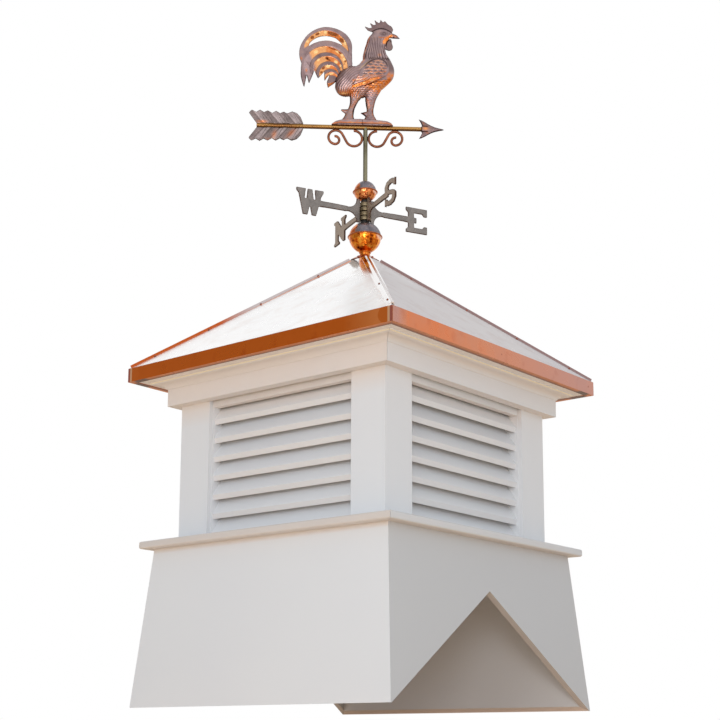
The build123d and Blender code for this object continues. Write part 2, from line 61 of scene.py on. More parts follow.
bpy.ops.object.select_all(action="DESELECT")
print(len(nodes), "nodes, box", cad_box)

# %% [markdown]
# ## Where the camera stands
# The photograph looks up at the cupola from its front right corner, from about its own foot's height.
# Straight edges in it fix the camera: its place, its turn, and its focal length. The picture is cropped
# from the upper part of a taller one, so the lens is shifted up rather than tilted further.

# %% Camera
CAMERA_PLACE = Vector((2.4069, -2.9425, -0.0995))
CAMERA_AZIMUTH = radians(39.4525)
CAMERA_ELEVATION = radians(10.841)
CAMERA_ROLL = radians(0.245)
CAMERA_LENS = 70.92
CAMERA_SHIFT = 0.1612

ahead = Vector((
    -sin(CAMERA_AZIMUTH) * cos(CAMERA_ELEVATION),
    cos(CAMERA_AZIMUTH) * cos(CAMERA_ELEVATION),
    sin(CAMERA_ELEVATION),
))
rightward = Vector((cos(CAMERA_AZIMUTH), sin(CAMERA_AZIMUTH), 0))
upward = rightward.cross(ahead)
rolled_right = cos(CAMERA_ROLL) * rightward + sin(CAMERA_ROLL) * upward
rolled_up = rolled_right.cross(ahead)
camera_data = bpy.data.cameras.new("camera")
camera = bpy.data.objects.new("camera", camera_data)
bpy.context.scene.collection.objects.link(camera)
turn = Matrix((rolled_right, rolled_up, -ahead)).transposed()
camera.matrix_world = Matrix.Translation(CAMERA_PLACE) @ turn.to_4x4()
camera_data.lens = CAMERA_LENS
camera_data.sensor_width = 36.0
camera_data.shift_y = CAMERA_SHIFT
camera_data.clip_end = 60.0
bpy.context.scene.camera = camera
print("camera", [round(x, 3) for x in CAMERA_PLACE], "lens", CAMERA_LENS)

# %% [markdown]
# ## Small helpers for materials
# Every finish here is made of nodes that read Object coordinates, so a pattern keeps its real size and
# stays on the piece when the vane turns. A field is a node's output that is added and multiplied like a
# number. The helpers of a finish return fields, so that each finish reads like a short sum.

# %% Node helpers
def srgb(red, green, blue):
    """A colour as an eye dropper reads it (0 to 255), made linear for the shader."""
    def linear(value):
        value = value / 255
        return value / 12.92 if value <= 0.04045 else ((value + 0.055) / 1.055) ** 2.4
    return (linear(red), linear(green), linear(blue), 1.0)


WHITE = srgb(255, 255, 255)


class Field:
    """A value or colour that changes from point to point of a finish."""

    def __init__(self, finish, socket):
        self.finish = finish
        self.socket = socket

    def __add__(self, other):
        return self.finish.maths("ADD", self, other)

    def __sub__(self, other):
        return self.finish.maths("SUBTRACT", self, other)

    def __rsub__(self, other):
        return self.finish.maths("SUBTRACT", other, self)

    def __mul__(self, other):
        return self.finish.maths("MULTIPLY", self, other)

    def __truediv__(self, other):
        return self.finish.maths("DIVIDE", self, other)

    def __abs__(self):
        return self.finish.maths("ABSOLUTE", self)


class Finish:
    """A material with a few short ways to add nodes to it."""

    def __init__(self, name, roughness=0.5, metallic=1.0):
        self.material = bpy.data.materials.new(name)
        self.material.use_nodes = True
        self.nodes = self.material.node_tree.nodes
        self.links = self.material.node_tree.links
        self.shader = self.nodes["Principled BSDF"]
        self.shader.inputs["Roughness"].default_value = roughness
        self.shader.inputs["Metallic"].default_value = metallic
        self.place = self.field("ShaderNodeTexCoord", "Object")

    def field(self, kind, output):
        """A field from one output of a new node that needs no input."""
        return Field(self, self.nodes.new(kind).outputs[output])

    def put(self, value, socket):
        """Joins a field to a socket, or sets the socket to a plain value."""
        if isinstance(value, Field):
            self.links.new(value.socket, socket)
        else:
            socket.default_value = value

    def noise(self, scale, detail=3.0, roughness=0.5, stretch=None):
        """Cloudy noise; stretch makes it longer along an axis, as brushing or rolling does."""
        source = self.place
        if stretch:
            mapping = self.nodes.new("ShaderNodeMapping")
            mapping.inputs["Scale"].default_value = stretch
            self.put(source, mapping.inputs["Vector"])
            source = Field(self, mapping.outputs["Vector"])
        texture = self.nodes.new("ShaderNodeTexNoise")
        names = ("Scale", "Detail", "Roughness", "Vector")
        for name, value in zip(names, (scale, detail, roughness, source)):
            self.put(value, texture.inputs[name])
        return Field(self, texture.outputs["Fac"])

    def ramp(self, source, *stops):
        """Colours at places from 0 to 1."""
        ramp = self.nodes.new("ShaderNodeValToRGB")
        elements = ramp.color_ramp.elements
        while len(elements) < len(stops):
            elements.new(0.5)
        for element, (place, colour) in zip(elements, stops):
            element.position = place
            element.color = colour
        self.put(source, ramp.inputs["Fac"])
        return Field(self, ramp.outputs["Color"])

    def spread(self, source, low, high, to_low=0.0, to_high=1.0):
        """Stretches a range of values to another, clamped."""
        remap = self.nodes.new("ShaderNodeMapRange")
        names = ("Value", "From Min", "From Max", "To Min", "To Max")
        for name, value in zip(names, (source, low, high, to_low, to_high)):
            self.put(value, remap.inputs[name])
        return Field(self, remap.outputs["Result"])

    def mix(self, factor, first, second, blend="MIX"):
        """The first colour where the factor is 0 and the second where it is 1."""
        mix = self.nodes.new("ShaderNodeMix")
        mix.data_type = "RGBA"
        mix.blend_type = blend
        for socket, value in ((mix.inputs[0], factor), (mix.inputs[6], first), (mix.inputs[7], second)):
            self.put(value, socket)
        return Field(self, mix.outputs[2])

    def maths(self, operation, *values):
        node = self.nodes.new("ShaderNodeMath")
        node.operation = operation
        for socket, value in zip(node.inputs, values):
            self.put(value, socket)
        return Field(self, node.outputs[0])

    def split(self, vector, name):
        """One part of a vector, X, Y or Z."""
        parts = self.nodes.new("ShaderNodeSeparateXYZ")
        self.put(vector, parts.inputs[0])
        return Field(self, parts.outputs[name])

    def axis(self, name):
        """One Object coordinate in metres."""
        return self.split(self.place, name)

    def facing(self, name):
        """How far the surface faces along an axis, from -1 to 1."""
        return self.split(self.field("ShaderNodeNewGeometry", "Normal"), name)

    def attribute(self, name):
        """A value that was painted on the mesh, such as how deep a point lies in the relief."""
        node = self.nodes.new("ShaderNodeAttribute")
        node.attribute_name = name
        return Field(self, node.outputs["Fac"])

    def colour(self, source):
        self.tone = source
        self.put(source, self.shader.inputs["Base Color"])

    def gloss(self, source):
        self.put(source, self.shader.inputs["Roughness"])

    def bump(self, height, strength, distance):
        node = self.nodes.new("ShaderNodeBump")
        for name, value in (("Strength", strength), ("Distance", distance), ("Height", height)):
            self.put(value, node.inputs[name])
        self.put(Field(self, node.outputs["Normal"]), self.shader.inputs["Normal"])


def clouded(name, cloud, tones, gloss, bump, metallic=1.0):
    """A finish whose tone and gloss drift with one cloudy noise, over a finer bump.

    cloud is a noise's scale, detail and roughness; bump is a scale, a detail, a strength and a depth in
    metres.
    """
    finish = Finish(name, metallic=metallic)
    finish.cloud = finish.noise(*cloud)
    finish.colour(finish.ramp(finish.cloud, *tones))
    finish.gloss(finish.spread(finish.cloud, 0.3, 0.7, *gloss))
    finish.bump(finish.noise(*bump[:2]), *bump[2:])
    return finish


def dress(finish, *names):
    """Gives a finish to nodes of the construction model."""
    for name in names:
        nodes[name].data.materials.clear()
        nodes[name].data.materials.append(finish.material)
    print(finish.material.name, "on", len(names), "nodes")


SIDES = ("front", "right", "back", "left")

# %% [markdown]
# ## Small helpers for pieces
# A modelled piece is joined from simple blocks, its edges are rounded with a bevel, and its place is then
# written into its mesh, so that the object itself stands unturned at the origin like the construction nodes
# do.

# %% Piece helpers
def only(piece):
    """Selects one piece and makes it active."""
    bpy.ops.object.select_all(action="DESELECT")
    piece.select_set(True)
    bpy.context.view_layer.objects.active = piece


def copy_of(node, name):
    """A merged copy of a construction node, as a piece of its own."""
    piece = bpy.data.objects.new(name, nodes[node].data.copy())
    bpy.context.scene.collection.objects.link(piece)
    piece.data.materials.clear()
    only(piece)
    bpy.ops.object.mode_set(mode="EDIT")
    bpy.ops.mesh.select_all(action="SELECT")
    bpy.ops.mesh.remove_doubles(threshold=0.00001)
    bpy.ops.object.mode_set(mode="OBJECT")
    return piece


def mesh_points(piece, kind="co"):
    """The piece's points in metres, a row each, or their normals with the kind normal."""
    values = np.empty(3 * len(piece.data.vertices))
    piece.data.vertices.foreach_get(kind, values)
    return values.reshape(-1, 3)


def move_points(piece, places):
    piece.data.vertices.foreach_set("co", places.ravel())
    piece.data.update()


def smoothed():
    """Shades the active piece smooth, but keeps its sharp edges."""
    bpy.ops.object.shade_smooth_by_angle(angle=radians(40))


def block(low, high, tilt=0.0):
    """A box between two corners in millimetres, tilted about X at its middle by degrees."""
    middle = [(a + b) / 2000 for a, b in zip(low, high)]
    bpy.ops.mesh.primitive_cube_add(size=1.0, location=middle, rotation=(radians(tilt), 0, 0))
    box = bpy.context.object
    box.scale = [(b - a) / 1000 for a, b in zip(low, high)]
    return box


def joined(name, parts, edge=0.0, turn=0.0):
    """Joins blocks into one piece, rounds its edges in millimetres and turns it about Z in degrees."""
    bpy.ops.object.select_all(action="DESELECT")
    for part in parts:
        part.select_set(True)
    bpy.context.view_layer.objects.active = parts[0]
    bpy.ops.object.transform_apply(location=True, rotation=True, scale=True)
    if len(parts) > 1:
        bpy.ops.object.join()
    piece = bpy.context.object
    piece.name = name
    if edge:
        bevel = piece.modifiers.new("edges", "BEVEL")
        bevel.width = edge / 1000
        bevel.segments = 2
        bpy.ops.object.modifier_apply(modifier=bevel.name)
    piece.rotation_euler = (0, 0, radians(turn))
    bpy.ops.object.transform_apply(location=True, rotation=True, scale=True)
    return piece


def hand_over(piece, body, finish, replaced=None):
    """Gives a piece its finish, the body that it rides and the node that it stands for."""
    piece.data.materials.clear()
    piece.data.materials.append(finish.material)
    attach(piece, body)
    if replaced:
        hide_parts(replaced)

# %% [markdown]
# ## A skin that can be pressed and painted
# Sculpting each feather of the rooster by hand would take days, and a bump texture leaves its outline
# smooth. So a copy of a construction node gets an even skin of small squares, and each point of it can then
# be moved along its normal, or painted, by a formula of its place: how far along the piece it is, and how
# high.

# %% Skin helpers
VANE_TURN = 42.3
ARROW_LEVEL = 1643.4


def even_skin(piece, voxel, rounds):
    """Gives the piece a skin of even squares, then softens its steps."""
    remesh = piece.modifiers.new("skin", "REMESH")
    remesh.mode = "VOXEL"
    remesh.voxel_size = voxel
    soften = piece.modifiers.new("soften", "SMOOTH")
    soften.factor = 0.5
    soften.iterations = rounds
    only(piece)
    for modifier in list(piece.modifiers):
        bpy.ops.object.modifier_apply(modifier=modifier.name)
    bpy.ops.object.shade_smooth()
    print(piece.name, len(piece.data.polygons), "faces")


def rise(value, low, high):
    """0 below low, 1 above high, smooth between."""
    t = np.clip((value - low) / (high - low), 0, 1)
    return t * t * (3 - 2 * t)


def fall(value, low, high):
    """1 below low, 0 above high, smooth between."""
    return 1 - rise(value, low, high)


def line(value, middle, width):
    """A soft line, 1 where the value is the middle one."""
    return np.exp(-(((value - middle) / width) ** 2))


def turned_axes(azimuth):
    """Rows that turn world directions to along, across and up, for a piece that points along an azimuth."""
    turn = radians(azimuth)
    return np.array(((cos(turn), sin(turn), 0), (-sin(turn), cos(turn), 0), (0, 0, 1)))


def skin_points(piece, azimuth=VANE_TURN, level=ARROW_LEVEL):
    """Each point's place in millimetres (along, across, up from the level) and its normal the same way."""
    turn = turned_axes(azimuth)
    places = mesh_points(piece) @ turn.T * 1000 - np.array((0, 0, level))
    return places, mesh_points(piece, "normal") @ turn.T


def skinned(node, name, voxel, rounds):
    """A copy of a node of the vane with an even skin, and the skin's places and normals."""
    piece = copy_of(node, name)
    even_skin(piece, voxel, rounds)
    return (piece, *skin_points(piece))


def press(piece, places, normals, height, azimuth=VANE_TURN, level=ARROW_LEVEL):
    """Moves points along their normals by heights in millimetres, but not above the construction's top."""
    moved = (places + normals * height[:, None] + np.array((0, 0, level))) / 1000 @ turned_axes(azimuth)
    moved[:, 2] = np.minimum(moved[:, 2], cad_box[1][2])
    move_points(piece, moved)


def paint(piece, name, values):
    """Stores one value a point under a name that the material reads."""
    layer = piece.data.attributes.new(name, "FLOAT", "POINT")
    layer.data.foreach_set("value", np.clip(values, 0, 1).astype(np.float32))


def from_rim(along, up, reach=5, cell=1.5):
    """How many millimetres each point lies inside its piece's outline, seen from the side, up to a limit."""
    column = np.round((along - along.min()) / cell).astype(int) + 2
    row = np.round((up - up.min()) / cell).astype(int) + 2
    filled = np.zeros((column.max() + 3, row.max() + 3), dtype=bool)
    filled[column, row] = True
    depth = np.zeros(filled.shape)
    for step in range(reach):
        depth += filled
        kept = filled.copy()
        for shift, axis in ((1, 0), (-1, 0), (1, 1), (-1, 1)):
            kept &= np.roll(filled, shift, axis)
        filled = kept
    return depth[column, row] * cell

# %% [markdown]
# ## White boards
# The walls, posts and louvres are white PVC boards with a satin skin. Plain white looks like plaster, so
# faint things are added: a slow drift of tone from board to board, a very fine orange peel, and painted
# warm bounce light, a peach tint under the eave, along the sill and on faces that look down, less of it on
# the right and left walls. The crown moulding has a yellow line along its bead. The bump is far under a
# millimetre, as on extruded board.

# %% White board finish
BOARD_LIGHT, BOARD_DARK = (233, 234, 235), (231, 232, 234)
EAVE_WARM_BOUNCE = (0.745, 0.8)
SILL_WARM_BOUNCE = (0.403, 0.412)
SILL_TOP_Z, WARM_BOUNCE_EDGE = 0.437, 0.0005
BEAD_LEVEL, BEAD_HALF = 0.87, 0.0012
WARM_BOUNCE_TINT, BEAD_YELLOW = (1.0, 0.9, 0.82, 1.0), srgb(252, 236, 196)


def white_board(name="white_board", shade=1.0):
    """shade scales the board's tone: below 1 it is painted shade, above 1 painted light."""
    board = Finish(name, metallic=0.0)
    drift = board.noise(2.1, detail=2.0)
    light, dark = ((*(shade * value for value in srgb(*tone)[:3]), 1.0) for tone in (BOARD_LIGHT, BOARD_DARK))
    tone = board.ramp(drift, (0.3, dark), (0.7, light))
    height = board.axis("Z")
    # film is painted warm bounce light: a peach tint under the eave, on the base just under the sill and on
    # faces that look down, patchy, and weaker on walls that face X
    below_top = board.spread(height, SILL_TOP_Z - WARM_BOUNCE_EDGE, SILL_TOP_Z, 1.0, 0.0)
    at_sill = board.spread(height, *SILL_WARM_BOUNCE) * below_top
    film = board.maths("MAXIMUM", board.spread(height, *EAVE_WARM_BOUNCE), at_sill)
    film = board.maths("MAXIMUM", film, board.spread(board.facing("Z"), -0.05, -0.6, 0.0, 0.85))
    film = film * board.spread(board.noise(9.0, detail=4.0, roughness=0.6), 0.25, 0.75, 0.85, 1.15)
    film = film * board.spread(abs(board.facing("X")), 0.5, 0.9, 1.0, 0.15)
    tone = board.mix(1.0, tone, board.mix(film, WHITE, WARM_BOUNCE_TINT), "MULTIPLY")
    # a yellow line along the crown moulding's bead
    bead = board.maths("COMPARE", height, BEAD_LEVEL, BEAD_HALF)
    board.colour(board.mix(bead * 0.7, tone, BEAD_YELLOW))
    board.gloss(board.spread(drift, 0.3, 0.7, 0.4, 0.5))
    board.bump(board.noise(900.0, detail=2.0), 0.1, 0.0003)
    return board


board = white_board()
dress(board, "base_front", "base_back")
# painted shade: the right and left base walls get a darker copy of the board
dress(white_board("shaded_side_board", shade=0.75), "base_right", "base_left")
dress(board, "frieze_boards", "crown_moulding", "eave_boards")
# painted shade on the sill boards, a darker copy of the board, and painted light on the soffit boards, a
# lighter copy
dress(white_board("sill_board", shade=0.88), "sill_boards")
dress(white_board("soffit_board", shade=1.08), "soffit_boards")
dress(board, *[name for name in nodes if name.startswith("corner_post")])

# %% [markdown]
# ## Plywood inside the roof
# The deck under the roof sheet and the block under the peak are plywood. They show only through the open
# foot and between the slats, so a grain stretched along X is enough.

# %% Plywood
ply = Finish("plywood", roughness=0.7, metallic=0.0)
grain = ply.noise(6.0, detail=6.0, stretch=(1.0, 12.0, 12.0))
PLY_TONES = ((0.3, srgb(150, 115, 78)), (0.5, srgb(186, 152, 110)), (0.75, srgb(205, 175, 134)))
ply.colour(ply.ramp(grain, *PLY_TONES))
ply.bump(grain, 0.3, 0.0006)
dress(ply, "roof_deck", "peak_block")

# %% [markdown]
# ## Louvred panels
# Each panel is a frame set back half an inch behind the corner posts, with seven slats let into its stiles.
# The slats lean out and down, so that rain runs off their outer faces, and each front end is cut close to
# plumb. From the ground one sees those outer faces and the noses. They are made of blocks, turned, cut with
# a bisect and then rounded by about a millimetre, because a sharp edge never catches the light the way a
# planed board does.

# %% Louvred panels
POST_HALF, OPENING_HALF, SILL_TOP, SOFFIT = 352.0, 246.0, 437.0, 874.0
FRAME_BACK, STILE_IN, POST_BACK = 265.0, 244.0, 332.8
FRAME_FRONT = POST_HALF - 12.0
HEAD_FOOT = 793.0
RAIL = 19.0
SLAT_LONG, SLAT_THICK, SLAT_PITCH, SLAT_LEAN = 60.0, 12.0, 51.0, 55.0
SLAT_RECESS, SLAT_LIFT = 17.0, 3.4
NOSE_UNDERCUT, NOSE_HEIGHT = 5.0, 14.0


def panel_frame(name, turn):
    """Stiles with a strip beside the post and a wider part behind it, a head rail and a foot rail."""
    parts = []
    for way in (-1, 1):
        strip = sorted((way * STILE_IN, way * (OPENING_HALF - 0.2)))
        behind = sorted((way * STILE_IN, way * (OPENING_HALF + 18.0)))
        parts.append(block((strip[0], -FRAME_FRONT, SILL_TOP), (strip[1], -POST_BACK, SOFFIT)))
        parts.append(block((behind[0], -POST_BACK, SILL_TOP), (behind[1], -FRAME_BACK, SOFFIT)))
    rail = STILE_IN - 0.2
    parts.append(block((-rail, -FRAME_FRONT, HEAD_FOOT), (rail, RAIL - FRAME_FRONT, SOFFIT)))
    parts.append(block((-rail, -FRAME_BACK - RAIL, SILL_TOP), (rail, -FRAME_BACK, SILL_TOP + RAIL)))
    return joined(name, parts, edge=0.5, turn=turn)


def slat(foot):
    """One slat, leaning 55 degrees, with its front end cut close to plumb."""
    nose = POST_HALF - SLAT_RECESS
    lean = radians(SLAT_LEAN)
    low_corner = Vector((0, NOSE_UNDERCUT - nose, foot))
    middle = low_corner + Vector((0, cos(lean), sin(lean))) * SLAT_LONG / 2
    middle += Vector((0, -sin(lean), cos(lean))) * SLAT_THICK / 2
    half = (STILE_IN + 1.4, SLAT_LONG / 2 + SLAT_THICK, SLAT_THICK / 2)
    low = [m - h for m, h in zip(middle, half)]
    high = [m + h for m, h in zip(middle, half)]
    piece = block(low, high, tilt=SLAT_LEAN)
    only(piece)
    bpy.ops.object.transform_apply(location=True, rotation=True, scale=True)
    bpy.ops.object.mode_set(mode="EDIT")
    bpy.ops.mesh.select_all(action="SELECT")
    cut = Vector((0, -NOSE_HEIGHT, -NOSE_UNDERCUT)).normalized()
    bpy.ops.mesh.bisect(plane_co=low_corner / 1000, plane_no=cut, use_fill=True, clear_outer=True)
    bpy.ops.object.mode_set(mode="OBJECT")
    return piece


def slat_set(name, turn):
    """Seven slats, one above another, let into the stiles."""
    return joined(name, [slat(SILL_TOP + SLAT_LIFT + SLAT_PITCH * n) for n in range(7)], edge=0.9, turn=turn)


for number, side in enumerate(SIDES):
    frame_piece = panel_frame(f"panel_frame_{side}", 90.0 * number)
    hand_over(frame_piece, "cupola", board, f"louvre_frame_{side}")
    slats_piece = slat_set(f"panel_slats_{side}", 90.0 * number)
    hand_over(slats_piece, "cupola", board, f"louvre_slats_{side}")
print("louvred panels on", len(SIDES), "sides")

# %% [markdown]
# ## Roof sheet
# The roof is thin sheet with a polished, pale skin. From below it works as a mirror: it shows the bright
# sky and, near the peak, the underside of the copper ball. So it is nearly a pure metal of low roughness,
# and what keeps it from looking like chrome is a slow ripple, because thin sheet is never quite flat, and a
# little dullness that comes and goes. Below the peak the skin is duller. The front and back sheets get a
# lighter tone as painted light, and the right and left sheets a darker one as painted shade.

# %% Roof sheet finish
PEAK_POLISH = (1.11, 1.17)


def roof_sheet(name, light, dark, polish):
    """polish is the roughness near the peak."""
    sheet = Finish(name, metallic=0.92)
    drift = sheet.noise(2.6, detail=3.0)
    tarnish = sheet.noise(14.0, detail=5.0, roughness=0.65)
    tone = sheet.ramp(drift, (0.3, dark), (0.6, light))
    film = sheet.ramp(tarnish, (0.5, WHITE), (0.78, srgb(244, 236, 232)))
    sheet.colour(sheet.mix(1.0, tone, film, "MULTIPLY"))
    worn = sheet.spread(tarnish, 0.35, 0.7, 0.0, 0.08)
    sheet.gloss(worn + sheet.spread(sheet.axis("Z"), *PEAK_POLISH, polish + 0.22, polish))
    sheet.bump(sheet.noise(5.0, detail=2.0), 0.05, 0.004)
    return sheet


# painted light and shade: a lighter sheet for the front and back, a darker copy for the right and left
lit_sheet = roof_sheet("lit_polished_roof_sheet", srgb(255, 254, 253), srgb(250, 249, 249), 0.04)
dull_shaded_sheet = roof_sheet("dull_shaded_roof_sheet", srgb(206, 201, 201), srgb(200, 195, 197), 0.3)
dress(lit_sheet, "roof_panel_front", "roof_panel_back")
dress(dull_shaded_sheet, "roof_panel_right", "roof_panel_left")

# %% [markdown]
# ## Folded copper
# The fascia and the hip caps are folded copper. It ages from orange to rose and then to mauve, and on this
# roof it has done so unevenly, so an age from 0 to 1 is laid along the object's own X, Y and Z, with clouds
# over it.

# %% Folded copper finish
ORANGE, ROSE, MAUVE = srgb(226, 112, 36), srgb(206, 134, 101), srgb(186, 140, 130)


def rolled_copper(name, age_of):
    """Copper whose colour follows its age, which age_of gives from the finish's axes."""
    copper = Finish(name)
    age = age_of(copper)
    cloud = copper.noise(9.0, detail=5.0, roughness=0.6)
    uneven = age + copper.spread(cloud, 0.3, 0.7, -0.1, 0.1)
    tone = copper.ramp(uneven, (0.08, ORANGE), (0.4, ROSE), (0.95, MAUVE))
    stains = copper.ramp(copper.noise(26.0, detail=5.0), (0.56, WHITE), (0.8, srgb(238, 222, 214)))
    copper.colour(copper.mix(1.0, tone, stains, "MULTIPLY"))
    copper.gloss(copper.spread(cloud, 0.3, 0.7, 0.22, 0.36))
    copper.bump(copper.noise(16.0, detail=3.0), 0.12, 0.001)
    return copper


def fascia_age(copper):
    """The front face is the youngest; the right one is rose near the front corner and mauve at both ends."""
    along = copper.axis("Y") + copper.axis("X") * 0.3
    turned = copper.spread(along, -0.3195, -0.318)
    near_end = turned * copper.spread(along, -0.3, -0.26, 0.55, 0.0)
    return near_end + (turned * 0.3 + copper.spread(along, -0.1, 0.5, 0.0, 0.5))


def cap_age(copper):
    """The left hip is young at its foot; the others are old all along."""
    return copper.spread(copper.axis("Z") + copper.axis("X") * 0.6, 0.88, 0.97)

# %% [markdown]
# ## Fascia
# The fascia's ends are folded over each other at the corners. The fold shows as a darker lap with a round
# end, a painted highlight along the edge beside it and a dark seam, and the lip that is turned in under the
# soffit stays golden, darker in its corners but the front right one. These lie within an inch or two of the
# corner, so they are drawn by the distance from it, on the front and back faces.

# %% Fascia with its corner laps
EAVE_HALF = 0.457
FASCIA_MIDDLE = 0.8935
LAP_FAR, LAP_NEAR, EDGE_NEAR = 0.043, 0.0145, 0.0078
LAP_ROUND, PALE_FAR = 30.0, 0.15
LIP_WIDE, SKIN = 0.02, 0.0005


def fascia_finish():
    copper = rolled_copper("fascia_copper", fascia_age)
    x, y = copper.axis("X"), copper.axis("Y")
    wide, deep = abs(x), abs(y)
    corner = EAVE_HALF - copper.maths("MINIMUM", wide, deep)
    bulge = copper.maths("POWER", abs(copper.axis("Z") - FASCIA_MIDDLE), 2.0)
    pale = copper.spread(corner, LAP_FAR, PALE_FAR, 0.75, 0.0) * copper.spread(abs(x - y), 0.5, 0.6)
    lap = copper.spread(corner + bulge * LAP_ROUND, LAP_FAR, LAP_FAR + 0.002, 1.0, 0.0) * 0.9
    # a pale band along the fold's edge, painted highlight
    edge = copper.spread(corner, LAP_NEAR, LAP_NEAR + 0.001, 1.0, 0.0)
    seam = copper.spread(corner, EDGE_NEAR, EDGE_NEAR + 0.001, 1.0, 0.0)
    front_only = 1.0 - copper.maths("GREATER_THAN", wide, EAVE_HALF - SKIN)
    tones = (srgb(252, 156, 88), srgb(228, 118, 44), srgb(255, 200, 156), srgb(196, 112, 96))
    folds = copper.tone
    for part, tone in zip((pale, lap, edge, seam), tones):
        folds = copper.mix(part * front_only, folds, tone)
    reach = copper.spread(copper.maths("MAXIMUM", wide, deep), EAVE_HALF - LIP_WIDE, EAVE_HALF)
    lip = copper.ramp(
        reach, (0.0, srgb(104, 60, 18)), (0.42, srgb(176, 92, 30)), (0.6, srgb(208, 122, 44)),
        (1.0, srgb(214, 122, 48)),
    )
    far_end = copper.spread(x - y, 0.8, 0.75)
    # the lip is painted darker in its corners, all but the front right one
    darker_lip_corners = copper.spread(corner, 0.02, 0.026) * copper.spread(corner, 0.075, 0.065)
    lip = copper.mix(darker_lip_corners * far_end, lip, srgb(92, 52, 22))
    copper.colour(copper.mix(copper.spread(copper.facing("Z"), -0.5, -0.9), folds, lip))
    return copper


dress(fascia_finish(), "copper_fascia")

# %% [markdown]
# ## Hip caps
# A hip cap is a strip with a raised bead over the hip and a flat flange on each side. On the caps at the
# front right and back left the flanges are glossy and painted the roof's pale tone, a painted reflection of
# the bright sky; the other two have aged over their whole width. All lie on one construction node, so the
# finish chooses by how far a point is from the diagonal through the corner. The photographed caps are
# fuller than the node's, so a copy gets wider flanges and a higher crest.

# %% Hip caps
BEAD_OFF = 0.003102
CAP_HALF = 0.00675
CAP_WIDER, CREST_LIFT, ROOF_FALL = 1.3, 0.0022, 0.781


def hip_cap_finish():
    cap = rolled_copper("hip_cap_copper", cap_age)
    x, y = cap.axis("X"), cap.axis("Y")
    off_line = abs(abs(x) - abs(y))
    flange = cap.spread(off_line, BEAD_OFF, BEAD_OFF + 0.0012)
    rolled_edge = cap.spread(off_line, CAP_WIDER * 0.0112, CAP_WIDER * 0.0125)
    # the front right and back left caps are glossy, and their pale colour is a painted reflection of the sky
    polished = cap.maths("MAXIMUM", flange, 0.6) * cap.spread(abs(x - y), 0.02, 0.04)
    old_side = cap.spread(x + y, 0.01, 0.05)
    age = cap_age(cap)
    faded = cap.mix(age, cap.mix(0.7, cap.tone, srgb(190, 88, 38)), srgb(206, 194, 194))
    lined = cap.mix(rolled_edge * age, faded, srgb(214, 150, 120))
    old_tone = cap.mix(flange, srgb(184, 150, 146), srgb(140, 106, 104))
    aged = cap.mix(old_side * 0.85, lined, old_tone)
    cap.colour(cap.mix(polished, aged, srgb(240, 237, 236)))
    cap.gloss(cap.spread(polished, 0.0, 1.0, 0.34, 0.08))
    return cap


def fuller_caps():
    """Moves the points of a copy away from the hip's line, down the roof, and lifts the crest."""
    caps = copy_of("hip_caps", "fuller_hip_caps")
    places = mesh_points(caps)
    wide, deep = np.abs(places[:, 0]), np.abs(places[:, 1])
    along, off = (wide + deep) / 2, (wide - deep) / 2
    grown = off * CAP_WIDER
    places[:, 0] = np.sign(places[:, 0]) * np.minimum(along + grown, EAVE_HALF - SKIN)
    places[:, 1] = np.sign(places[:, 1]) * np.minimum(along - grown, EAVE_HALF - SKIN)
    places[:, 2] -= ROOF_FALL * (np.abs(grown) - np.abs(off))
    places[:, 2] += CREST_LIFT * np.clip(1 - np.abs(off) / CAP_HALF, 0, 1)
    move_points(caps, places)
    hand_over(caps, "cupola", hip_cap_finish(), "hip_caps")


fuller_caps()

# %% [markdown]
# ## Rivets
# The hip caps are held by small copper rivets, a pair every hundred millimetres or so, one on each flange,
# and a single row on the front hip; the right fascia has one at its lap and one near its far end. They are
# placed by the distances read from the photograph. Each is a low dome: a sphere with its lower part buried
# in the sheet. The back and the left side repeat them.

# %% Rivets
RIVET_HALF, RIVET_RISE = 3.1, 3.3
EAVE_RUN, PANEL_TOP, PANEL_RISE = 457.0, 910.8, 357.0
LEFT_HIP = (21.9, 101.0, 212.5, 312.6, 414.0)
RIGHT_HIP = (21.9, 99.2, 209.8, 309.8, 414.0)
NEAR_HIP = (294.8, 421.8)
FASCIA_RIVETS = ((-4, 891), (428, 893))
FLANGE_OFF, NEAR_OFF, RIVET_LIFT = 15.5, 7.0, 1.5
PAIR, SINGLE = ((FLANGE_OFF, 0), (0, FLANGE_OFF)), ((NEAR_OFF, 0),)
ON_ROOF = (1, 1, RIVET_RISE / RIVET_HALF)
ON_FASCIA, FASCIA_SINK = (0.15, 1, 1), 0.3


def rivet(place, flat):
    """A low dome at a place in millimetres; flat gives its reach along each axis, as shares."""
    bpy.ops.mesh.primitive_uv_sphere_add(segments=16, ring_count=8, location=[part / 1000 for part in place])
    dome = bpy.context.object
    dome.scale = [RIVET_HALF / 1000 * share for share in flat]
    return dome


def hip_rivets(toward_x, toward_y, distances, shifts):
    """Rivets along the hip that runs to the corner with these signs, each shifted onto a flange."""
    domes = []
    for out in distances:
        for shift_x, shift_y in shifts:
            top = PANEL_TOP + PANEL_RISE * (1 - out / EAVE_RUN) + RIVET_LIFT
            domes.append(rivet((toward_x * (out - shift_x), toward_y * (out - shift_y), top), ON_ROOF))
    return domes


domes = hip_rivets(-1, -1, LEFT_HIP, PAIR) + hip_rivets(1, 1, RIGHT_HIP, PAIR)
domes += hip_rivets(1, -1, NEAR_HIP, SINGLE) + hip_rivets(-1, 1, NEAR_HIP, SINGLE)
for side in (-1, 1):
    for along, height in FASCIA_RIVETS:
        domes.append(rivet((side * (EAVE_RUN - FASCIA_SINK), side * along, height), ON_FASCIA))
roof_rivets = joined("roof_rivets", domes)
bpy.ops.object.shade_smooth()
rivet_finish = clouded(
    "rivet_copper", (90.0, 3.0),
    ((0.3, srgb(118, 62, 48)), (0.5, srgb(146, 84, 66)), (0.7, srgb(176, 112, 92))),
    (0.28, 0.45), (300.0, 2.0, 0.1, 0.0002),
)
hand_over(roof_rivets, "cupola", rivet_finish)
print("rivets", len(domes))
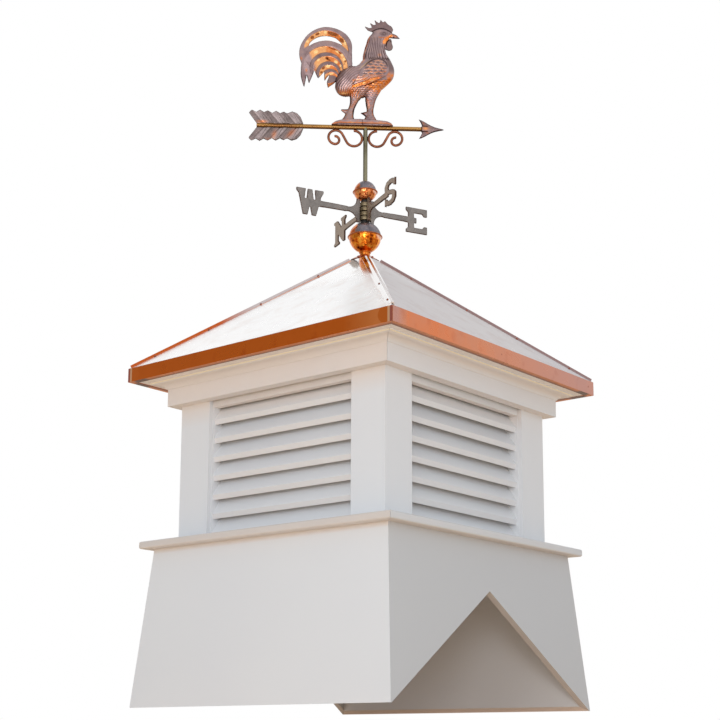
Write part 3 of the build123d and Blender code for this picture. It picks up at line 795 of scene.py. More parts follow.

# %% [markdown]
# ## The balls on the spindle
# Each ball is two copper half shells that meet at a rim. Rain has turned the upper half blue grey, all but
# a strip on its lee side; the lower half is sheltered and still shines gold and orange. It was hammered
# over a former, so its skin has small dents, and each dent mirrors something else: the gold is broken into
# darker and lighter patches of painted reflection, laid out by the same noise as the dents. The construction
# balls are a few millimetres small, so a copy's shell grows outwards, more than its rim does, and its upper
# and lower halves stretch by their own amounts.

# %% Balls
LEE = (0.772, 0.635)
RIM_SKIN = 0.003
DENT_DEPTH, DENTED_RADIUS = 0.0045, 0.0425
REFLECTION_PLACES = (0.36, 0.45, 0.56, 0.68)
GOLD_WITH_REFLECTIONS = (srgb(112, 44, 10), srgb(204, 98, 26), srgb(236, 138, 44), srgb(250, 178, 70))
RAIN_TONES = (srgb(104, 100, 108), srgb(130, 124, 130), srgb(182, 146, 136))
ROSE_WITH_REFLECTIONS = (srgb(110, 48, 28), srgb(196, 104, 56), srgb(230, 142, 84), srgb(250, 186, 120))


def ball_finish(name, middle, radius, tones_with_reflections):
    """A ball with a dull top and a bright underside; middle is its rim's height."""
    ball = Finish(name)
    cloud = ball.noise(60.0, detail=4.0, roughness=0.6)
    dents = ball.noise(2.9 / radius, detail=2.0, roughness=0.6)
    height = ball.axis("Z") - middle
    lee = ball.axis("X") * LEE[0] + ball.axis("Y") * LEE[1]
    wavy = lee + ball.spread(cloud, 0.3, 0.7, -radius * 0.15, radius * 0.15)
    above_rim = ball.spread(height, 0.0, 0.002)
    rained_on = above_rim * ball.spread(wavy, -radius * 0.6, -radius * 0.5)
    low_edge = ball.spread(height, -radius * 0.35, -radius * 0.2)
    pale_edge = ball.spread(wavy, radius * 0.72, radius * 0.85) * low_edge
    dull = ball.ramp(cloud, *zip((0.3, 0.56, 0.72), RAIN_TONES))
    # painted reflections: the dents' noise picks darker and lighter tones of the lower half's gold and rose
    tone = ball.ramp(dents, *zip(REFLECTION_PLACES, tones_with_reflections))
    tone = ball.mix(pale_edge * 0.7, tone, srgb(232, 196, 178))
    tone = ball.mix(above_rim * 0.75, tone, srgb(196, 96, 34))
    tone = ball.mix(rained_on, tone, dull)
    tone = ball.mix(ball.spread(height, radius * 0.985, radius * 0.99), tone, srgb(206, 92, 36))
    rim = ball.spread(abs(height), 0.0012, 0.0022, 1.0, 0.0)
    ball.colour(ball.mix(rim, tone, srgb(184, 106, 66)))
    ball.gloss(ball.spread(rained_on, 0.0, 1.0, 0.1, 0.36))
    ball.bump(dents, 0.42, DENT_DEPTH * radius / DENTED_RADIUS)
    return ball


def fuller_ball(node, middle, shell, rim, wide, rim_wide, up, down, tones_with_reflections):
    """Grows a ball; shell and rim are radii in metres, the four values after them are factors."""
    ball = copy_of(node, "full_" + node)
    places = mesh_points(ball)
    out = np.hypot(places[:, 0], places[:, 1])
    places[:, :2] *= np.interp(out, (0, shell * 0.3, shell, rim), (1, 1, wide, rim_wide))[:, None]
    height = places[:, 2] - middle
    stretch = np.where(height > RIM_SKIN, up, np.where(height < -RIM_SKIN, down, 1.0))
    places[:, 2] = middle + height * stretch
    move_points(ball, places)
    only(ball)
    smoothed()
    hand_over(ball, "cupola", ball_finish(node + "_copper", middle, shell, tones_with_reflections), node)


fuller_ball("large_ball", 1.3138, 0.0425, 0.0502, 1.07, 1.005, 1.02, 1.1, GOLD_WITH_REFLECTIONS)
fuller_ball("small_ball", 1.4481, 0.0283, 0.0338, 1.13, 1.06, 1.18, 1.03, ROSE_WITH_REFLECTIONS)

# %% [markdown]
# ## Cast letters
# The compass letters are cast brass that has gone grey, north and south browner than east and west. A
# casting has soft edges, so each letter gets an even skin, and its outline gets painted shade. North and
# south are also slimmer. Close to the spindle a letter's knuckle is olive, with dark joints.

# %% Letters
HUB_REACH, JOINT_PITCH, STACK_FOOT = 0.0125, 0.012, 1.3658
OUTLINE_FROM, OUTLINE_FULL = 55, 70
EAST_WEST, NORTH_SOUTH = 64.5, -25.5
RING_SHADE = ((0.06, srgb(60, 48, 34)), (0.16, srgb(118, 108, 80)), (0.5, srgb(156, 148, 120)))


def letter_finish(name, *tones):
    stops = zip((0.28, 0.5, 0.72), tones)
    cast = clouded(name, (34.0, 5.0, 0.62), stops, (0.34, 0.52), (260.0, 3.0, 0.3, 0.0005), 0.85)
    x, y = cast.axis("X"), cast.axis("Y")
    out = cast.maths("SQRT", x * x + y * y)
    hub = cast.spread(out, HUB_REACH, HUB_REACH + 0.0005, 1.0, 0.0)
    ring = cast.ramp(cast.maths("PINGPONG", (cast.axis("Z") - STACK_FOOT) / JOINT_PITCH, 0.5), *RING_SHADE)
    # the outline is darkened as painted shade
    tone = cast.mix(cast.attribute("outline_shade"), cast.tone, srgb(84, 60, 48))
    cast.colour(cast.mix(hub, tone, ring))
    return cast


def cast_letter(node, azimuth, finish, slimmer):
    """A letter with softened, dirty edges; slimmer is how far its outline moves in, in millimetres."""
    letter = copy_of(node, "cast_" + node)
    even_skin(letter, 0.0012, 2)
    places, normals = skin_points(letter, azimuth)
    inset = from_rim(places[:, 0], places[:, 2])
    edge = rise(0.7 - np.abs(normals[:, 1]), 0, 0.4)
    outside = rise(np.abs(places[:, 0]), OUTLINE_FROM, OUTLINE_FULL) * edge
    press(letter, places, normals, -slimmer * outside, azimuth)
    # painted shade along the outline
    paint(letter, "outline_shade", fall(inset, 1.6, 4.6))
    hand_over(letter, "cupola", finish, node)


grey_cast = letter_finish("grey_cast_brass", srgb(112, 106, 103), srgb(132, 126, 122), srgb(150, 141, 136))
brown_cast = letter_finish("brown_cast_brass", srgb(144, 126, 110), srgb(168, 149, 132), srgb(180, 164, 146))
cast_letter("letter_west", EAST_WEST, grey_cast, 0.0)
cast_letter("letter_east", EAST_WEST, grey_cast, 0.0)
cast_letter("letter_north", NORTH_SOUTH, brown_cast, 1.0)
cast_letter("letter_south", NORTH_SOUTH, brown_cast, 1.5)

# %% [markdown]
# ## Rings and spindle
# Where the four castings meet, each has a turned ring around the spindle, and the rings stack up with dark
# joints between them. A ring is a cylinder with rounded rims. The spindle is black steel, and a short
# sleeve of it shows above and below the stack.

# %% Rings and sleeves
RING_REACH, RING_PITCH, RING_FOOT, RING_COUNT, RING_GAP = 16.5, 13.6, 1360.8, 4, 2.0
RING_HEAD = RING_FOOT + RING_COUNT * RING_PITCH
SLEEVE_REACH = 12.5
SLEEVES = ((RING_FOOT - 11, RING_FOOT + 1), (RING_HEAD - 1, RING_HEAD + 8))


def round_stack(name, reach, spans, edge):
    """Cylinders round the spindle, each from one height to another in millimetres, joined."""
    parts = []
    for low, high in spans:
        middle, depth = (0, 0, (low + high) / 2000), (high - low) / 1000
        bpy.ops.mesh.primitive_cylinder_add(vertices=48, radius=reach / 1000, depth=depth, location=middle)
        parts.append(bpy.context.object)
    stack = joined(name, parts, edge=edge)
    smoothed()
    return stack


ring_finish = clouded(
    "ring_brass", (60.0, 4.0, 0.6),
    ((0.3, srgb(98, 84, 64)), (0.5, srgb(126, 112, 88)), (0.72, srgb(148, 134, 108))),
    (0.3, 0.5), (200.0, 3.0, 0.2, 0.0004), 0.9,
)
turns = (ring_finish.axis("Z") - RING_FOOT / 1000) / (RING_PITCH / 1000)
joint = ring_finish.spread(ring_finish.maths("PINGPONG", turns, 0.5), 0.06, 0.14, 1.0, 0.0)
ring_finish.colour(ring_finish.mix(joint, ring_finish.tone, srgb(56, 40, 28)))
ring_feet = [RING_FOOT + step * RING_PITCH + RING_GAP / 2 for step in range(RING_COUNT)]
ring_spans = [(foot, foot + RING_PITCH - RING_GAP) for foot in ring_feet]
rings = round_stack("casting_rings", RING_REACH, ring_spans, 1.8)
hand_over(rings, "cupola", ring_finish)

steel = Finish("black_steel", metallic=0.3)
cloud = steel.noise(50.0, detail=4.0)
steel.colour(steel.ramp(cloud, (0.35, srgb(22, 20, 20)), (0.7, srgb(40, 37, 36))))
steel.bump(cloud, 0.15, 0.0003)
dress(steel, "spindle")
hand_over(round_stack("spindle_sleeves", SLEEVE_REACH, SLEEVES, 0.8), "cupola", steel)

# %% [markdown]
# ## Brass tubes and collar
# The vane's upright tube and the arrow's rod are drawn brass. Both get painted shade on faces that look
# down, so the rod has a golden top and a dark underside; the upright has gone olive. The collar under the
# large ball is copper that rain can't reach, so it is bright.

# %% Brass tubes and collar
def brass_finish(name, *tones):
    """Tones from dark to light; faces that look down get the dark one as painted shade."""
    stops = zip((0.28, 0.5, 0.74), tones)
    brass = clouded(name, (9.0, 3.0, 0.55), stops, (0.26, 0.42), (40.0, 2.0, 0.03, 0.0003))
    brass.colour(brass.mix(brass.spread(brass.facing("Z"), 0.0, -0.7), brass.tone, tones[0]))
    return brass


dress(brass_finish("golden_brass", srgb(112, 76, 42), srgb(160, 120, 68), srgb(184, 142, 82)), "arrow_shaft")
dress(brass_finish("olive_brass", srgb(92, 86, 66), srgb(128, 124, 102), srgb(146, 140, 112)), "vane_tube")
collar_finish = clouded(
    "collar_copper", (46.0, 4.0, 0.6),
    ((0.3, srgb(150, 74, 24)), (0.5, srgb(198, 106, 38)), (0.7, srgb(226, 140, 60))),
    (0.14, 0.3), (90.0, 3.0, 0.15, 0.0006),
)
dress(collar_finish, "peak_collar")

# %% [markdown]
# ## Weathered copper
# The weathervane is sheet copper that has stood outside. Its high places have turned a dull mauve brown,
# and its hollows, where rain and hands don't reach, are still bright orange. Three values painted on a skin
# steer that: "copper" says how bright a point still is; "shade" is mostly painted shade, darker in grooves,
# creases and along the outlines and a little lighter than plain at 0 as painted light, and it also darkens a
# few parts and seams; and "glint" is a painted highlight where the copper mirrors the sky.

# %% Weathered copper finish
MAUVES = (srgb(142, 118, 118), srgb(160, 138, 138), srgb(174, 146, 140))
GREYS = (srgb(130, 118, 115), srgb(150, 136, 134), srgb(166, 150, 147))
GLOW = ((0.3, srgb(196, 100, 38)), (0.55, srgb(226, 132, 62)), (0.75, srgb(236, 168, 112)))
# the shade ramp: a little lighter than plain at 0, as painted light, and darker towards 1, as painted shade
SHADE = ((0.0, (1.15, 1.15, 1.17, 1.0)), (0.3, (0.8, 0.77, 0.77, 1.0)), (1.0, srgb(78, 50, 42)))
GLINT = srgb(255, 214, 150)


def weathered(name, tones, worn=0.12):
    """Dull tones and glowing copper, chosen by what is painted; worn adds fine bright specks."""
    aged = Finish(name)
    cloud = aged.noise(45.0, detail=4.0, roughness=0.6)
    dull = aged.ramp(cloud, *zip((0.3, 0.5, 0.72), tones))
    specks = aged.spread(aged.noise(240.0, detail=3.0), 0.62, 0.72, 0.0, worn)
    amount = aged.maths("MAXIMUM", aged.attribute("copper"), specks)
    # glint mixes in a pale painted highlight, and the shade ramp multiplies in painted shade
    tone = aged.mix(aged.attribute("glint"), aged.mix(amount, dull, aged.ramp(cloud, *GLOW)), GLINT)
    aged.colour(aged.mix(1.0, tone, aged.ramp(aged.attribute("shade"), *SHADE), "MULTIPLY"))
    aged.gloss(aged.spread(amount, 0.0, 1.0, 0.38, 0.2))
    aged.bump(aged.noise(160.0, detail=4.0), 0.35, 0.0008)
    return aged

# %% [markdown]
# ## Scrolls
# The scrolls are bent from rod, which rain wets all round, so they have turned a darker brown than the
# sheet, with orange left only where a bend is out of the weather. The photographed rod is a little thicker
# than the node's.

# %% Scrolls
ROD_SWELL = 0.75
ROD_TONES = ((0.3, srgb(98, 58, 44)), (0.5, srgb(138, 84, 62)), (0.72, srgb(180, 114, 82)))
rod_bump = (150.0, 3.0, 0.2, 0.0005)
rod_finish = clouded("browned_copper_rod", (38.0, 4.0, 0.6), ROD_TONES, (0.28, 0.46), rod_bump)
for node in ("scroll_fore", "scroll_aft"):
    scroll, places, normals = skinned(node, "bent_" + node, 0.0008, 1)
    press(scroll, places, normals, np.full(len(places), ROD_SWELL))
    hand_over(scroll, "vane", rod_finish, node)

# %% [markdown]
# ## Relief pressed into the rooster
# The real rooster is two thin copper shells pressed into a mould, so its feathers stand about a millimetre
# proud. Each kind of feather is a formula: long strands on the neck and rump, round scales on the shoulder,
# streaks along the wing. The camera looks up at the bird, so a point that bulges out sideways is seen
# higher than it is, and every height below is such a seen height.

# %% Shapes of feathers
def strands(t):
    """Long feathers side by side: 0 in the groove at whole numbers, 1 on the ridge between."""
    return np.abs(np.sin(pi * t))


def wander(a, b, pitch, seed):
    """An uneven value from -1 to 1 that changes over about the pitch."""
    a, b = a / pitch, b / pitch
    first = np.sin(1.9 * a + 1.3 * b + seed + 1.6 * np.sin(1.1 * b - 0.7 * a + 2 * seed))
    return 0.5 * first + 0.5 * np.sin(1.4 * a - 2.1 * b + 3 * seed + 1.4 * np.sin(1.2 * a + seed))


def scales(a, b, reach=0.72):
    """Rows of overlapping round feathers: each rises towards its tip, which lies over the row below."""
    height = np.zeros_like(a)
    covered = np.zeros_like(a, dtype=bool)
    row = np.ceil(b) + 1
    for step in range(3):
        shift = 0.5 * np.mod(row, 2)
        centre = np.round(a - shift) + shift
        apart = np.hypot(a - centre, (b - row) * 0.85)
        here = (apart < reach) & ~covered
        height[here] = (apart[here] / reach) ** 1.5
        covered |= here
        row = row - 1
    return height


def inside(outline, s, z):
    """Distance to a closed outline, more than 0 inside it and less than 0 outside."""
    points = np.array(outline, float)
    nearest = np.full_like(s, 1e9)
    within = np.zeros_like(s, dtype=bool)
    for (x0, y0), (x1, y1) in zip(points, np.roll(points, -1, axis=0)):
        dx, dy = x1 - x0, y1 - y0
        t = np.clip(((s - x0) * dx + (z - y0) * dy) / (dx * dx + dy * dy), 0, 1)
        nearest = np.minimum(nearest, np.hypot(s - x0 - t * dx, z - y0 - t * dy))
        crosses = (y0 > z) != (y1 > z)
        within ^= crosses & (s < dx * (z - y0) / (dy if dy else 1e-9) + x0)
    return np.where(within, nearest, -nearest)


def spot(s, z, at, wide, tall, lean=0.0):
    """A soft oval spot, 1 at its middle."""
    a = (s - at[0]) * cos(radians(lean)) + (z - at[1]) * sin(radians(lean))
    b = (z - at[1]) * cos(radians(lean)) - (s - at[0]) * sin(radians(lean))
    return np.exp(-((a / wide) ** 2 + (b / tall) ** 2))


def pushed(places, pushes):
    """Moves the points around each place by a few millimetres, less and less further away."""
    s, z = places[:, 0].copy(), places[:, 2].copy()
    for at, reach, by in pushes:
        near = spot(s, z, at, *reach)
        places[:, 0] += by[0] * near
        places[:, 2] += by[1] * near

# %% [markdown]
# Outlines mark the parts that have a relief of their own: the wing, the bright streak along it, the arch
# between the legs and the patch of cheek. Inside each, and in bands of height and length elsewhere, one
# kind of feather is pressed, its grooves get painted shade and its bright places copper.

# %% Rooster relief
LOOK_UP = 0.49  # how much higher a point looks for each millimetre that it stands out sideways
CREASE = [(82, 284), (68, 277), (60, 269), (56, 254), (59, 254), (63, 268), (70, 275), (84, 281)]
WING = [  # outlines as distance along and seen height
    (-40, 124), (-30, 150), (-20, 170), (-10, 188), (0, 201), (12, 210), (25, 216), (37, 218), (50, 214),
    (60, 205), (66, 192), (66, 175), (58, 162), (40, 152), (20, 143), (0, 134), (-20, 127),
]
STREAK = [
    (-40, 122), (-10, 131), (5, 137), (20, 146), (38, 153), (36, 159), (18, 154), (0, 147), (-20, 137),
    (-40, 131),
]
ARCH = [
    (-33, 30), (-34, 50), (-28, 66), (-18, 80), (-10, 88), (-3, 83), (1, 70), (1, 52), (-12, 46),
    (-2, 36), (-4, 28),
]
CHEEK = [
    (60, 283), (75, 293), (79, 287), (67, 277), (57, 262), (49, 261), (48, 270), (54, 279),
]


def rooster_relief(s, w, z, normals):
    """Height in millimetres, how bright the copper is, the painted shade of grooves, creases and outline,
    more where the point lies deep, and the painted glints.
    """
    h = z + LOOK_UP * np.abs(w)
    inset = from_rim(s, h)
    uneven = wander(s, h, 20, 2.0)
    wing = inside(WING, s, h)
    on_wing = rise(wing, -0.5, 1.5)
    cheek = inside(CHEEK, s, h)

    # neck: long locks that fan out from above the head and end in a scalloped hem, with painted shade in the
    # grooves and under the hem
    fan = (s - 33) / (368 - h) / 0.046 + 0.35 * uneven
    hem = 214 + 5 * strands(fan + 0.5)
    neck = rise(h, hem - 1, hem + 1) * fall(h, 279, 287) * (cheek < -1) * (s < 62)
    lock = strands(fan)
    height = neck * (1.4 * lock ** 0.7 - 0.4)
    deep = 0.1 - 0.1 * neck * rise(lock, 0.7, 1) + neck * (0.75 + 0.25 * uneven) * fall(lock, 0.05, 0.6)
    deep += 0.75 * line(h - hem, -2, 2.6) * rise(s, 2, 12) * (1 - on_wing)
    bright = 0.5 * spot(s, h, (39, 226), 5, 4) + 0.6 * (inset < 7) * (s < 12) * (h > 200) * (h < 290)

    # shoulder: rows of small round feathers, bright in patches towards the front, with painted shade between
    # them
    net = scales(s / 18 + 0.3 * uneven + 0.15 * wander(s, h, 8, 10.0), h / 8.5 + 0.25 * uneven)
    small = rise(wing, 6, 8) * rise(h, 158, 166)
    height += 1.2 * on_wing + small * (1.3 * net - 1.0)
    patchy = 0.5 + 0.5 * rise(wander(s, h, 7, 11.0), -0.5, 0.3)
    bright += small * rise(net, 0.35, 0.7) * (0.8 - 0.3 * rise(h, 185, 205)) * patchy * rise(s, -12, 8)
    deep += 0.42 * small * fall(net, 0.15, 0.5) * patchy + 0.75 * line(wing, 4, 2.4) * rise(h, 180, 200)

    # wing: long slanting vanes below the shoulder, and the polished streak between them, with painted shade
    # in the grooves and under the streak
    lean = 0.92 * h - 0.38 * s
    vane = strands(lean / 7.5 + 0.45 * wander(s, h, 15, 3.0))
    lower = on_wing * fall(h, 160, 166)
    height += lower * (vane ** 0.7 - 0.5)
    bright += lower * (0.75 - 0.6 * vane + 0.35 * wander(s, h, 9, 4.0)) * rise(h + 0.25 * s, 120, 150)
    deep += lower * 0.55 * fall(vane, 0.03, 0.3)
    streak = rise(inside(STREAK, s, h), -1, 1.5)
    under_streak = spot(s, h, (13, 137), 26, 2.2, lean=22)
    height -= 1.2 * streak + 0.8 * under_streak
    bright = np.maximum(bright, 0.95 * streak)
    deep = deep * (1 - 0.8 * streak) + 0.95 * under_streak

    # rump: plumes that curve round the thigh, with painted shade in the grooves
    rump = fall(s, -24, -14) * (1 - on_wing) * rise(h, 88, 94)
    plume = strands(np.hypot(s - 20, h - 90) / 6.4 + 0.4 * uneven)
    height += rump * (plume ** 0.8 - 0.4)
    deep += rump * (0.35 + 0.25 * uneven) * fall(plume, 0.08, 0.45)
    bright += rump * (0.12 + 0.8 * fall(h, 104, 132)) * fall(plume, 0.2, 0.65)
    bright += 0.9 * spot(s, h, (-62, 104), 18, 7) + 0.7 * spot(s, h, (-43, 112), 9, 10)

    # breast, then the down of the belly and thighs
    front = rise(s, 56, 64) * (1 - on_wing) * fall(h, 212, 222)
    bright += front * (0.75 + 0.4 * wander(s, h, 6, 5.0)) * fall(h, 158, 182)
    deep += front * 0.42 * rise(h, 165, 185)
    arch = -inside(ARCH, s, h)
    belly = (1 - on_wing) * fall(h, 146, 152) * rise(s, -44, -36) * rise(arch, 5, 11)
    down = scales(s / 10 + 0.2 * uneven, h / 6.5)
    height += belly * rise(h, 88, 96) * (0.9 * down - 0.5)
    near_edge = fall(inset, 4, 7)
    bright += belly * (0.45 * rise(down, 0.35, 0.8) + 0.6 * near_edge) * rise(h, 92, 104)
    bright += belly * (0.75 + 0.5 * wander(s, h, 5, 6.0)) * rise(0.5 * s + h, 118, 136)
    deep += belly * 0.35 * fall(down, 0.1, 0.35) * (1 - 0.6 * rise(s, 0, 20))

    # head: eye in its socket, brow, eyelid, cheek, the crease behind the beak, comb and beak; socket, brow
    # line and crease get painted shade
    socket = spot(s, h, (52, 294), 15, 7.5)
    eye = np.hypot(s - 53, h - 294)
    height += 0.9 * fall(eye, 1.5, 3.4) - 0.8 * socket
    deep += 0.3 * rise(socket, 0.35, 0.6) + 0.25 * line(eye, 4, 1.4)
    beak = rise(s, 76, 80) * (h > 276) * (h < 302)
    brow = 309 - (s - 45) ** 2 / 78
    deep += 0.95 * line(h, brow, 2.0) * (s > 16) * (s < 78)
    lid = 281 + (s - 46) ** 2 / 75
    bright += 0.75 * line(h, lid, 1.8) * (s > 36) * (s < 70)
    bright = np.maximum(bright, rise(cheek, -1, 1.5))
    deep = deep * (1 - 0.8 * rise(cheek, -1, 1))
    deep += rise(inside(CREASE, s, h), -1.5, 0.5)
    crest = rise(h, brow, brow + 2) + rise(s, 58, 62) * (h < 275) * (h > 240)
    deep = np.maximum(deep, 0.45 * crest * (cheek < 0))
    gape = spot(s, h, (85, 287), 8, 2.5, lean=-12)
    deep = np.maximum(deep, beak * 0.7 * (1 - gape))
    bright += 0.8 * beak * gape

    # legs, the dark outline all round as painted shade, and last the painted glints
    leg = fall(h, 86, 96) * (h > 24)
    deep += 0.12 * leg
    bright += leg * (0.6 * line(inset, 4.5, 1.5) + 0.2 * rise(wander(s, h, 5, 7.0), 0.3, 0.7))
    deep = np.maximum(deep, fall(inset, 1.6, 4.5) * 0.9)
    deep = np.maximum(deep, fall(np.minimum(inset, arch), 2.5, 6.0) * (h < 104) * (h > 24))
    bright += 0.5 * line(arch, 9, 2.5) * (h > 60) * (h < 110)
    glint = 0.7 * spot(s, h, (-3, 195), 16, 1.6, lean=42) + 0.6 * spot(s, h, (-62, 104), 12, 3)
    glint += 0.5 * streak * rise(wander(s, h, 7, 8.0), 0.35, 0.8) + 0.5 * small * rise(net, 0.85, 1.0)
    flank = rise(np.abs(normals[:, 1]), 0.15, 0.55)
    return 1.2 * height * flank, bright, deep, glint


def painted(piece, bright, deep, glint):
    """Paints the three values of the weathered copper."""
    paint(piece, "copper", bright)
    paint(piece, "shade", deep)
    paint(piece, "glint", glint)


pressed_finish = weathered("pressed_copper", MAUVES)

# %% [markdown]
# The construction node follows the bird to a few millimetres. Where the photographed outline differs, at
# the breast, nape and rump, between the legs and at the beak, points are pushed before the relief is
# pressed. The feet flare into the mound.

# %% Rooster
BODY_PUSHES = [  # place, reach and shift of each push, in millimetres
    ((82, 183), (26, 17), (5.2, 0)), ((76, 152), (24, 17), (6.0, -0.5)), ((-6, 226), (22, 26), (-6, 0)),
    ((62, 228), (14, 14), (-3.2, 0)), ((14, 291), (10, 9), (3, 0)), ((-84, 106), (20, 16), (-5.5, -5)),
    ((-88, 128), (12, 14), (-2.2, 0)), ((-32, 190), (14, 8), (0, -1.5)), ((-48, 94), (6, 6), (0, 2)),
    ((-8, 95), (12, 10), (0, -9)), ((3, 62), (8, 22), (-4, 0)), ((25, 52), (7, 16), (-2.2, 0)),
    ((90, 288), (10, 6), (1.2, 2.4)), ((73, 270), (6, 6), (0, 5)), ((79, 262), (6, 8), (-2, 0)),
    ((78, 246), (8, 7), (1, 1)), ((67, 239), (9, 5), (0, 2.5)), ((78, 316), (12, 10), (2.2, 0)),
    ((-41, 186), (7, 7), (0, 5)), ((84, 166), (16, 14), (3, 0)), ((0, 252), (14, 14), (-2.6, 0)),
    ((-74, 97), (12, 8), (-1, -2.6)), ((-5, 89), (8, 7), (0, -4)), ((3, 58), (6, 18), (-1.5, 0)),
    ((82, 279), (10, 4), (0, -1.2)), ((0, 313), (6, 5), (-1.5, 0.5)), ((14, 326), (6, 5), (-1, 1)),
    ((28, 335), (6, 5), (-1, 1)), ((43, 337), (6, 5), (0, 1.2)), ((-66, 49), (7, 9), (-2, 0)),
    ((-12, 45), (5, 5), (-1.5, 0)), ((-36, 42), (6, 16), (2.2, 0)), ((26, 31), (7, 7), (3, -1)),
]
FOOT_DROP = 2.0
rooster, places, normals = skinned("rooster_body", "pressed_rooster", 0.00115, 4)
pushed(places, BODY_PUSHES)
foot = fall(places[:, 2], 20, 42)
heel = np.where(places[:, 0] < -14, -46.0, 13.0)
places[:, 2] -= FOOT_DROP * foot
places[:, 0] = heel + (places[:, 0] - heel) * (1 + 0.45 * foot * foot)
height, *tones = rooster_relief(*places.T, normals)
press(rooster, places, normals, height)
painted(rooster, *tones)
hand_over(rooster, "vane", pressed_finish, "rooster_body")

# %% [markdown]
# ## Sickle feathers of the tail
# The tail is one sheet, pressed so that each sickle feather has a raised rim and a hollow along it. The
# rims have gone dull and the hollows still glow, which is what makes the tail read as feathers from far
# away. Each rim runs between two circles, and along a hollow gold, brown and cream patches follow each
# other: the gold is the hollow's bright copper, and the brown and cream patches are painted reflections of
# the ground and the sky, which the hollow mirrors by turns.

# %% Tail
RINGS = [  # middle along, middle height, radius; each pair of circles bounds one hollow
    (-115, 232, 65), (-116, 184, 82), (-116, 184, 64), (-113, 181, 48), (-111, 174, 43.5),
    (-107, 166, 35), (-106, 162, 28), (-102, 153, 25), (-100, 147, 21), (-97, 140, 18),
]
DARK_REFLECTIONS = [  # middle along, middle height, half length, half width, lean in degrees
    (-95, 289, 17, 8, -14), (-140, 286, 7, 3.5, 30), (-155, 275, 6, 5, 45), (-70, 268, 9, 6, -50),
    (-95, 243, 19, 4, -22), (-74, 230, 6, 4, -40), (-112, 212, 5, 5, 0), (-122, 181, 6, 4, 45),
    (-128, 167, 5, 3, 50), (-59, 203, 3, 3.5, 0), (-107, 207, 7, 3, -30), (-112, 152, 3, 9, -35),
    (-48, 238, 2.5, 12, 20),
]
CREAM_REFLECTIONS = [
    (-135, 291, 4, 6, 0), (-117, 292, 6, 5, 0), (-169, 262, 5, 5, 50), (-61, 262, 4, 11, 18),
    (-69, 222, 4, 6, 30), (-62, 209, 4, 7, 35), (-144, 230, 8, 6, 30), (-86, 200, 6, 5, -40),
    (-109, 186, 7, 5, 0), (-82, 232, 9, 3, -40), (-100, 163, 8, 2.5, 10), (-72, 188, 5, 3, -50),
    (-137, 205, 6, 4, 50), (-98, 150, 2.5, 9, -35),
]
TAIL_PUSHES = [
    ((-37, 230), (22, 24), (-5.5, 0)), ((-40, 193), (8, 9), (5, -2)), ((-107, 138), (6.5, 14), (-5.5, 0)),
    ((-188, 195), (8, 9), (2.5, 0)), ((-187, 160), (8, 22), (-1.5, 0)), ((-95, 309), (30, 8), (0, 1)),
    ((-166, 250), (6, 5), (2.5, 1)), ((-85, 275), (16, 6), (0, 1.5)), ((-112, 266), (22, 6), (0, 1.2)),
]
DULL_TO = ((165, 180, 200, 225, 250, 265), (-138, -142, -149, -160, -180, -182))  # height, then place along
SHEET_HALF = 1.8


def patches(s, z, rows, low, high):
    """Oval patches with a firm edge, added up."""
    return sum(rise(spot(s, z, (a, b), *size), low, high) for a, b, *size in rows)


def tail_relief(s, z):
    """Height in millimetres, how bright the copper is, how dark it is painted (painted shade, painted dark
    reflections and the dull rims), and the painted cream reflections.
    """
    depth = [radius - np.hypot(s - a, z - b) for a, b, radius in RINGS]
    hollow = np.zeros_like(s)
    for start, end in zip(depth[0::2], depth[1::2]):
        hollow = np.maximum(hollow, rise(start, -1, 1) * fall(end, -1, 1))
    inset = from_rim(s, z)
    turn = np.arctan2(z - 190, s + 105)
    barbs = strands(turn * 13 + np.hypot(s + 105, z - 190) / 16)
    warm = rise(s - np.interp(z, *DULL_TO), -8, 5)
    # painted reflections: dark patches of the ground and cream ones of the sky
    dark = patches(s, z, DARK_REFLECTIONS, 0.2, 0.6)
    cream = patches(s, z, CREAM_REFLECTIONS, 0.15, 0.7)
    peach = np.maximum(rise(-s, 110, 118), rise(s, -76, -70))
    bright = hollow * warm * (0.75 + 0.25 * barbs)
    for at, share in (((-171, 172), 0.7), ((-146, 175), 0.7), ((-186, 208), 0.8)):
        bright += share * spot(s, z, at, 3, 5)
    deep = hollow * warm * (0.62 * dark + 0.25 * fall(barbs, 0.05, 0.3))
    deep += (1 - hollow) * (0.2 + 0.2 * rise(s, -150, -140) * rise(depth[2], -4, 2))
    edges = sum(line(ring, 0, 1.1) for ring in depth)
    deep = np.maximum(deep, 0.42 * edges * rise(s, -178, -165))
    tips = fall(z, 150, 175) * (1 - hollow)
    quill = strands((s + 0.35 * z) / 17.5)
    deep = np.maximum(deep, tips * 0.45 * fall(quill, 0.1, 0.35))
    # the dark outline is painted shade
    deep = np.maximum(deep, 0.85 * fall(inset, 1.6, 4.0))
    # glint is the painted cream reflections, and a paler tint towards the ends of the hollows
    glint = hollow * warm * (1 - np.clip(dark, 0, 1)) * np.maximum(0.85 * cream, 0.35 * peach)
    return 1.4 * (1 - hollow) + 0.3 * barbs * hollow, bright, deep, glint


tail, places, normals = skinned("rooster_tail", "pressed_tail", 0.001, 3)
pushed(places, TAIL_PUSHES)
edge = fall(np.abs(normals[:, 1]), 0.3, 0.7)
height, *tones = tail_relief(places[:, 0], places[:, 2])
side = rise(np.abs(places[:, 1]), 0.9, 1.7) * np.sign(places[:, 1])
places[:, 1] = np.clip(places[:, 1], -SHEET_HALF, SHEET_HALF) + side * height
press(tail, places, normals, 0.9 * edge * fall(places[:, 2], 160, 175))
painted(tail, *tones)
hand_over(tail, "vane", pressed_finish, "rooster_tail")

# %% [markdown]
# ## Mound
# The bird stands on a low mound of sheet, whose ends run out along the shaft. Its far end is a little
# fuller than the construction node's.

